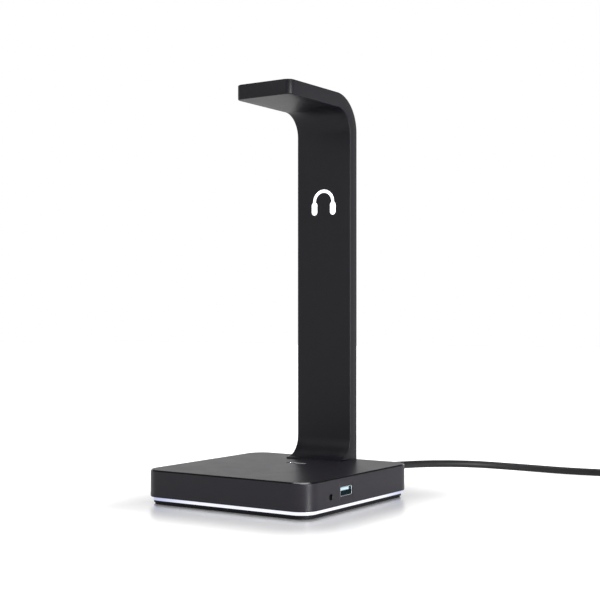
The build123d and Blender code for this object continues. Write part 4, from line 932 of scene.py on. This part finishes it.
tie_thread = tie_fabric.cloudy(0.45 * mm, (0.012, 0.012, 0.014), (0.04, 0.04, 0.044),
                               detail=2.0, stretch=(1.0, 1.0, 0.4))
tie_fabric.grain(tie_thread, 0.15 * mm)
tie_strip = (Shell().grid(tie_grid, round_rows=True, round_columns=True)
             .piece("tie_strip", tie_fabric, "tie_fabric", ["cable_tie"]))

# -------- plug
# USB-A plug on the cable's end: a soft PVC grip moulded over a nickel-plated sheet-steel shell
# with two square latch windows in each broad side.
grip_low, grip_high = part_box("plug_grip")
grip_length = grip_high.y - grip_low.y
grip_stations = np.array([0.0, 0.012, 0.05, 0.25, 0.5, 0.66, 0.74, 0.84, 0.93, 0.985, 1.0])
grip_widths = np.array([7.6, 7.9, 8.0, 8.0, 8.0, 7.7, 6.4, 4.6, 3.6, 3.3, 3.1]) * mm
grip_heights = np.array([3.8, 4.1, 4.2, 4.2, 4.2, 4.0, 3.9, 3.6, 3.35, 3.25, 3.05]) * mm
grip_at = np.unique(np.concatenate([np.linspace(0, 1, 121), grip_stations]))
grip_w = np.interp(grip_at, grip_stations, grip_widths)
grip_h = np.interp(grip_at, grip_stations, grip_heights)
grip_turn = np.linspace(0, 2 * np.pi, 65)[:-1]
squareness = 2 / np.interp(grip_at, [0, 0.6, 0.9, 1.0], [4.5, 4.5, 2.2, 2.0])[:, None]
lobe_x = np.sign(np.cos(grip_turn)) * np.abs(np.cos(grip_turn)) ** squareness
lobe_z = np.sign(np.sin(grip_turn)) * np.abs(np.sin(grip_turn)) ** squareness
rib_count = 5
rib_pitch = 2.2 * mm
rib_middle = 11 * mm
rib_depth = 0.35 * mm
rib_share = 0.72  # of the grip's half width
rib_at = (grip_at * grip_length - rib_middle) / rib_pitch
rib_wave = np.where(np.abs(rib_at) < rib_count / 2, 0.5 - 0.5 * np.cos(2 * np.pi * (rib_at - 0.5)), 0)
rib_here = rib_wave[:, None] * (np.abs(lobe_x) < rib_share) * rib_depth
grip_grid = np.stack([
    tail_x + grip_w[:, None] * lobe_x,
    np.broadcast_to((grip_low.y + grip_at * grip_length)[:, None], lobe_x.shape),
    plug_height + (grip_h[:, None] - rib_here) * lobe_z], axis=-1)
plug_grip = (Shell().grid(grip_grid, round_columns=True).patch(grip_grid[0]).patch(grip_grid[-1])
             .piece("grip_moulding", cable_rubber, "cable_rubber", ["plug_grip"]))
nickel.dress("plug_shell")

# -------- room
# A pale table in a white room, glossy near the base, with soft lamps in front, on the right and
# above, and the camera. The camera sees plain white; mirrored rays see it fade towards the ceiling.
world = bpy.context.scene.world or bpy.data.worlds.new("room")
bpy.context.scene.world = world
world.use_nodes = True
white = (1.0, 1.0, 1.0, 1.0)


class Surroundings(Nodes):
    """Nodes that tell one kind of ray from another, for the room and the table only."""

    def ray(self, kind):
        """1 for rays of that kind, otherwise 0."""
        return self.node("ShaderNodeLightPath", {}, out=f"Is {kind} Ray")

    def white_light(self, strength):
        return self.node("ShaderNodeBackground", {"Color": white, "Strength": strength})

    def mix(self, share, first, second):
        return self.node("ShaderNodeMixShader", {"Fac": share, 1: first, 2: second})


room = Surroundings(world.node_tree)
towards = room.node("ShaderNodeTexCoord", {}, out="Generated")
heading = room.node("ShaderNodeSeparateXYZ", {0: towards}, out="Z")
mirrored = room.white_light(room.ramp(heading, 0.2, 0.5, 1.0, 0.1))
unseen = room.mix(room.ray("Glossy"), room.white_light(0.5), mirrored)
all_rays = room.mix(room.ray("Camera") | room.ray("Transmission"), unseen, room.white_light(1.0))
room.tree.links.new(all_rays.socket, room.tree.nodes["World Output"].inputs["Surface"])

table = Finish("table_top", (0.55, 0.55, 0.555), 0.3, ior=1.45, emission_strength=1.0)
table.drive("Roughness", 0.28 + 0.06 * table.noise(60 * mm))
painted_shadow_reach = 72 * mm
near_glow = 0.7
far_reach = 1.0
far_glow = 0.3
right_fade = 1.3
painted_shadow_glow = 0.34
mirrored_glow = 0.7
mirror_reach = 64 * mm
mirror_share = 0.78
mirror_roughness = 0.3
table_rays = Surroundings(table.tree)
beside = table.vectors("ABSOLUTE", table.node("ShaderNodeTexCoord", {}, out="Object"))
beside = table.vectors("SUBTRACT", beside, (base_half, base_half, 1.0))
beside = table.vectors("MAXIMUM", beside)
beside = table.vectors("MULTIPLY", beside, (right_fade, 1.0, 1.0))
gap_to_base = table.vectors("LENGTH", beside, out="Value")
# painted shadow: the table's own glow is weaker close to the base and fades in over 72 mm (less far to the
# sides), so a shadow is painted round it
glow_with_painted_shadow = (table.ramp(gap_to_base, 0.0, painted_shadow_reach, painted_shadow_glow, near_glow)
        + table.ramp(gap_to_base, painted_shadow_reach, far_reach, 0.0, far_glow, "LINEAR"))
glow_with_painted_shadow = glow_with_painted_shadow * (table_rays.ray("Camera") + table_rays.ray("Transmission")
               + mirrored_glow * table_rays.ray("Glossy"))
table.drive("Emission Color", table.blend(glow_with_painted_shadow, (0.0, 0.0, 0.0), (1.0, 1.0, 1.0)))
# near the base the table also mirrors it, less and less with distance
mirror = table.node("ShaderNodeBsdfAnisotropic", {"Color": white, "Roughness": mirror_roughness})
mirror_here = table.ramp(gap_to_base, 0.0, mirror_reach, mirror_share, 0.0, "LINEAR")
table_mix = table_rays.mix(mirror_here, Signal(table, table.shader.outputs[0]), mirror)
table.tree.links.new(table_mix.socket, table.tree.nodes["Material Output"].inputs["Surface"])
table_half = 4.0
table_mesh = bpy.data.meshes.new("table_top")
table_mesh.from_pydata([(-table_half, -table_half, 0), (table_half, -table_half, 0),
                        (table_half, table_half, 0), (-table_half, table_half, 0)], [], [(0, 1, 2, 3)])
table_mesh.materials.append(table.material)
table_top = new_object("table_top", table_mesh)

for lamp_name, place, aim, size, watts in (
    ("lamp_front", (-0.5, -1.3, 0.9), (0.0, 0.0, 0.12), (0.8, 0.8), 4.0),
    ("lamp_right", (0.93, -0.28, 0.22), (0.0, 0.0, 0.12), (0.28, 0.4), 11.5),
    ("lamp_over", (0.0, 0.05, 1.4), (0.0, 0.0, 0.0), (1.2, 0.8), 12.0),
):
    softbox = bpy.data.lights.new(lamp_name, "AREA")
    softbox.shape = "RECTANGLE"
    softbox.size, softbox.size_y = size
    softbox.energy = watts
    holder = new_object(lamp_name, softbox)
    holder.location = place
    holder.rotation_euler = (Vector(aim) - Vector(place)).to_track_quat("-Z", "Y").to_euler()

camera = bpy.data.cameras.new("camera")
camera.lens = 72.72
camera.sensor_width = 36.0
camera.shift_y = 0.03143
camera_stand = new_object("camera", camera)
camera_stand.location = (0.45865, -0.66362, 0.12037)
camera_stand.rotation_euler = (np.radians(90), 0.0, np.radians(33.695))
bpy.context.scene.camera = camera_stand
bpy.context.scene.view_settings.view_transform = "Standard"
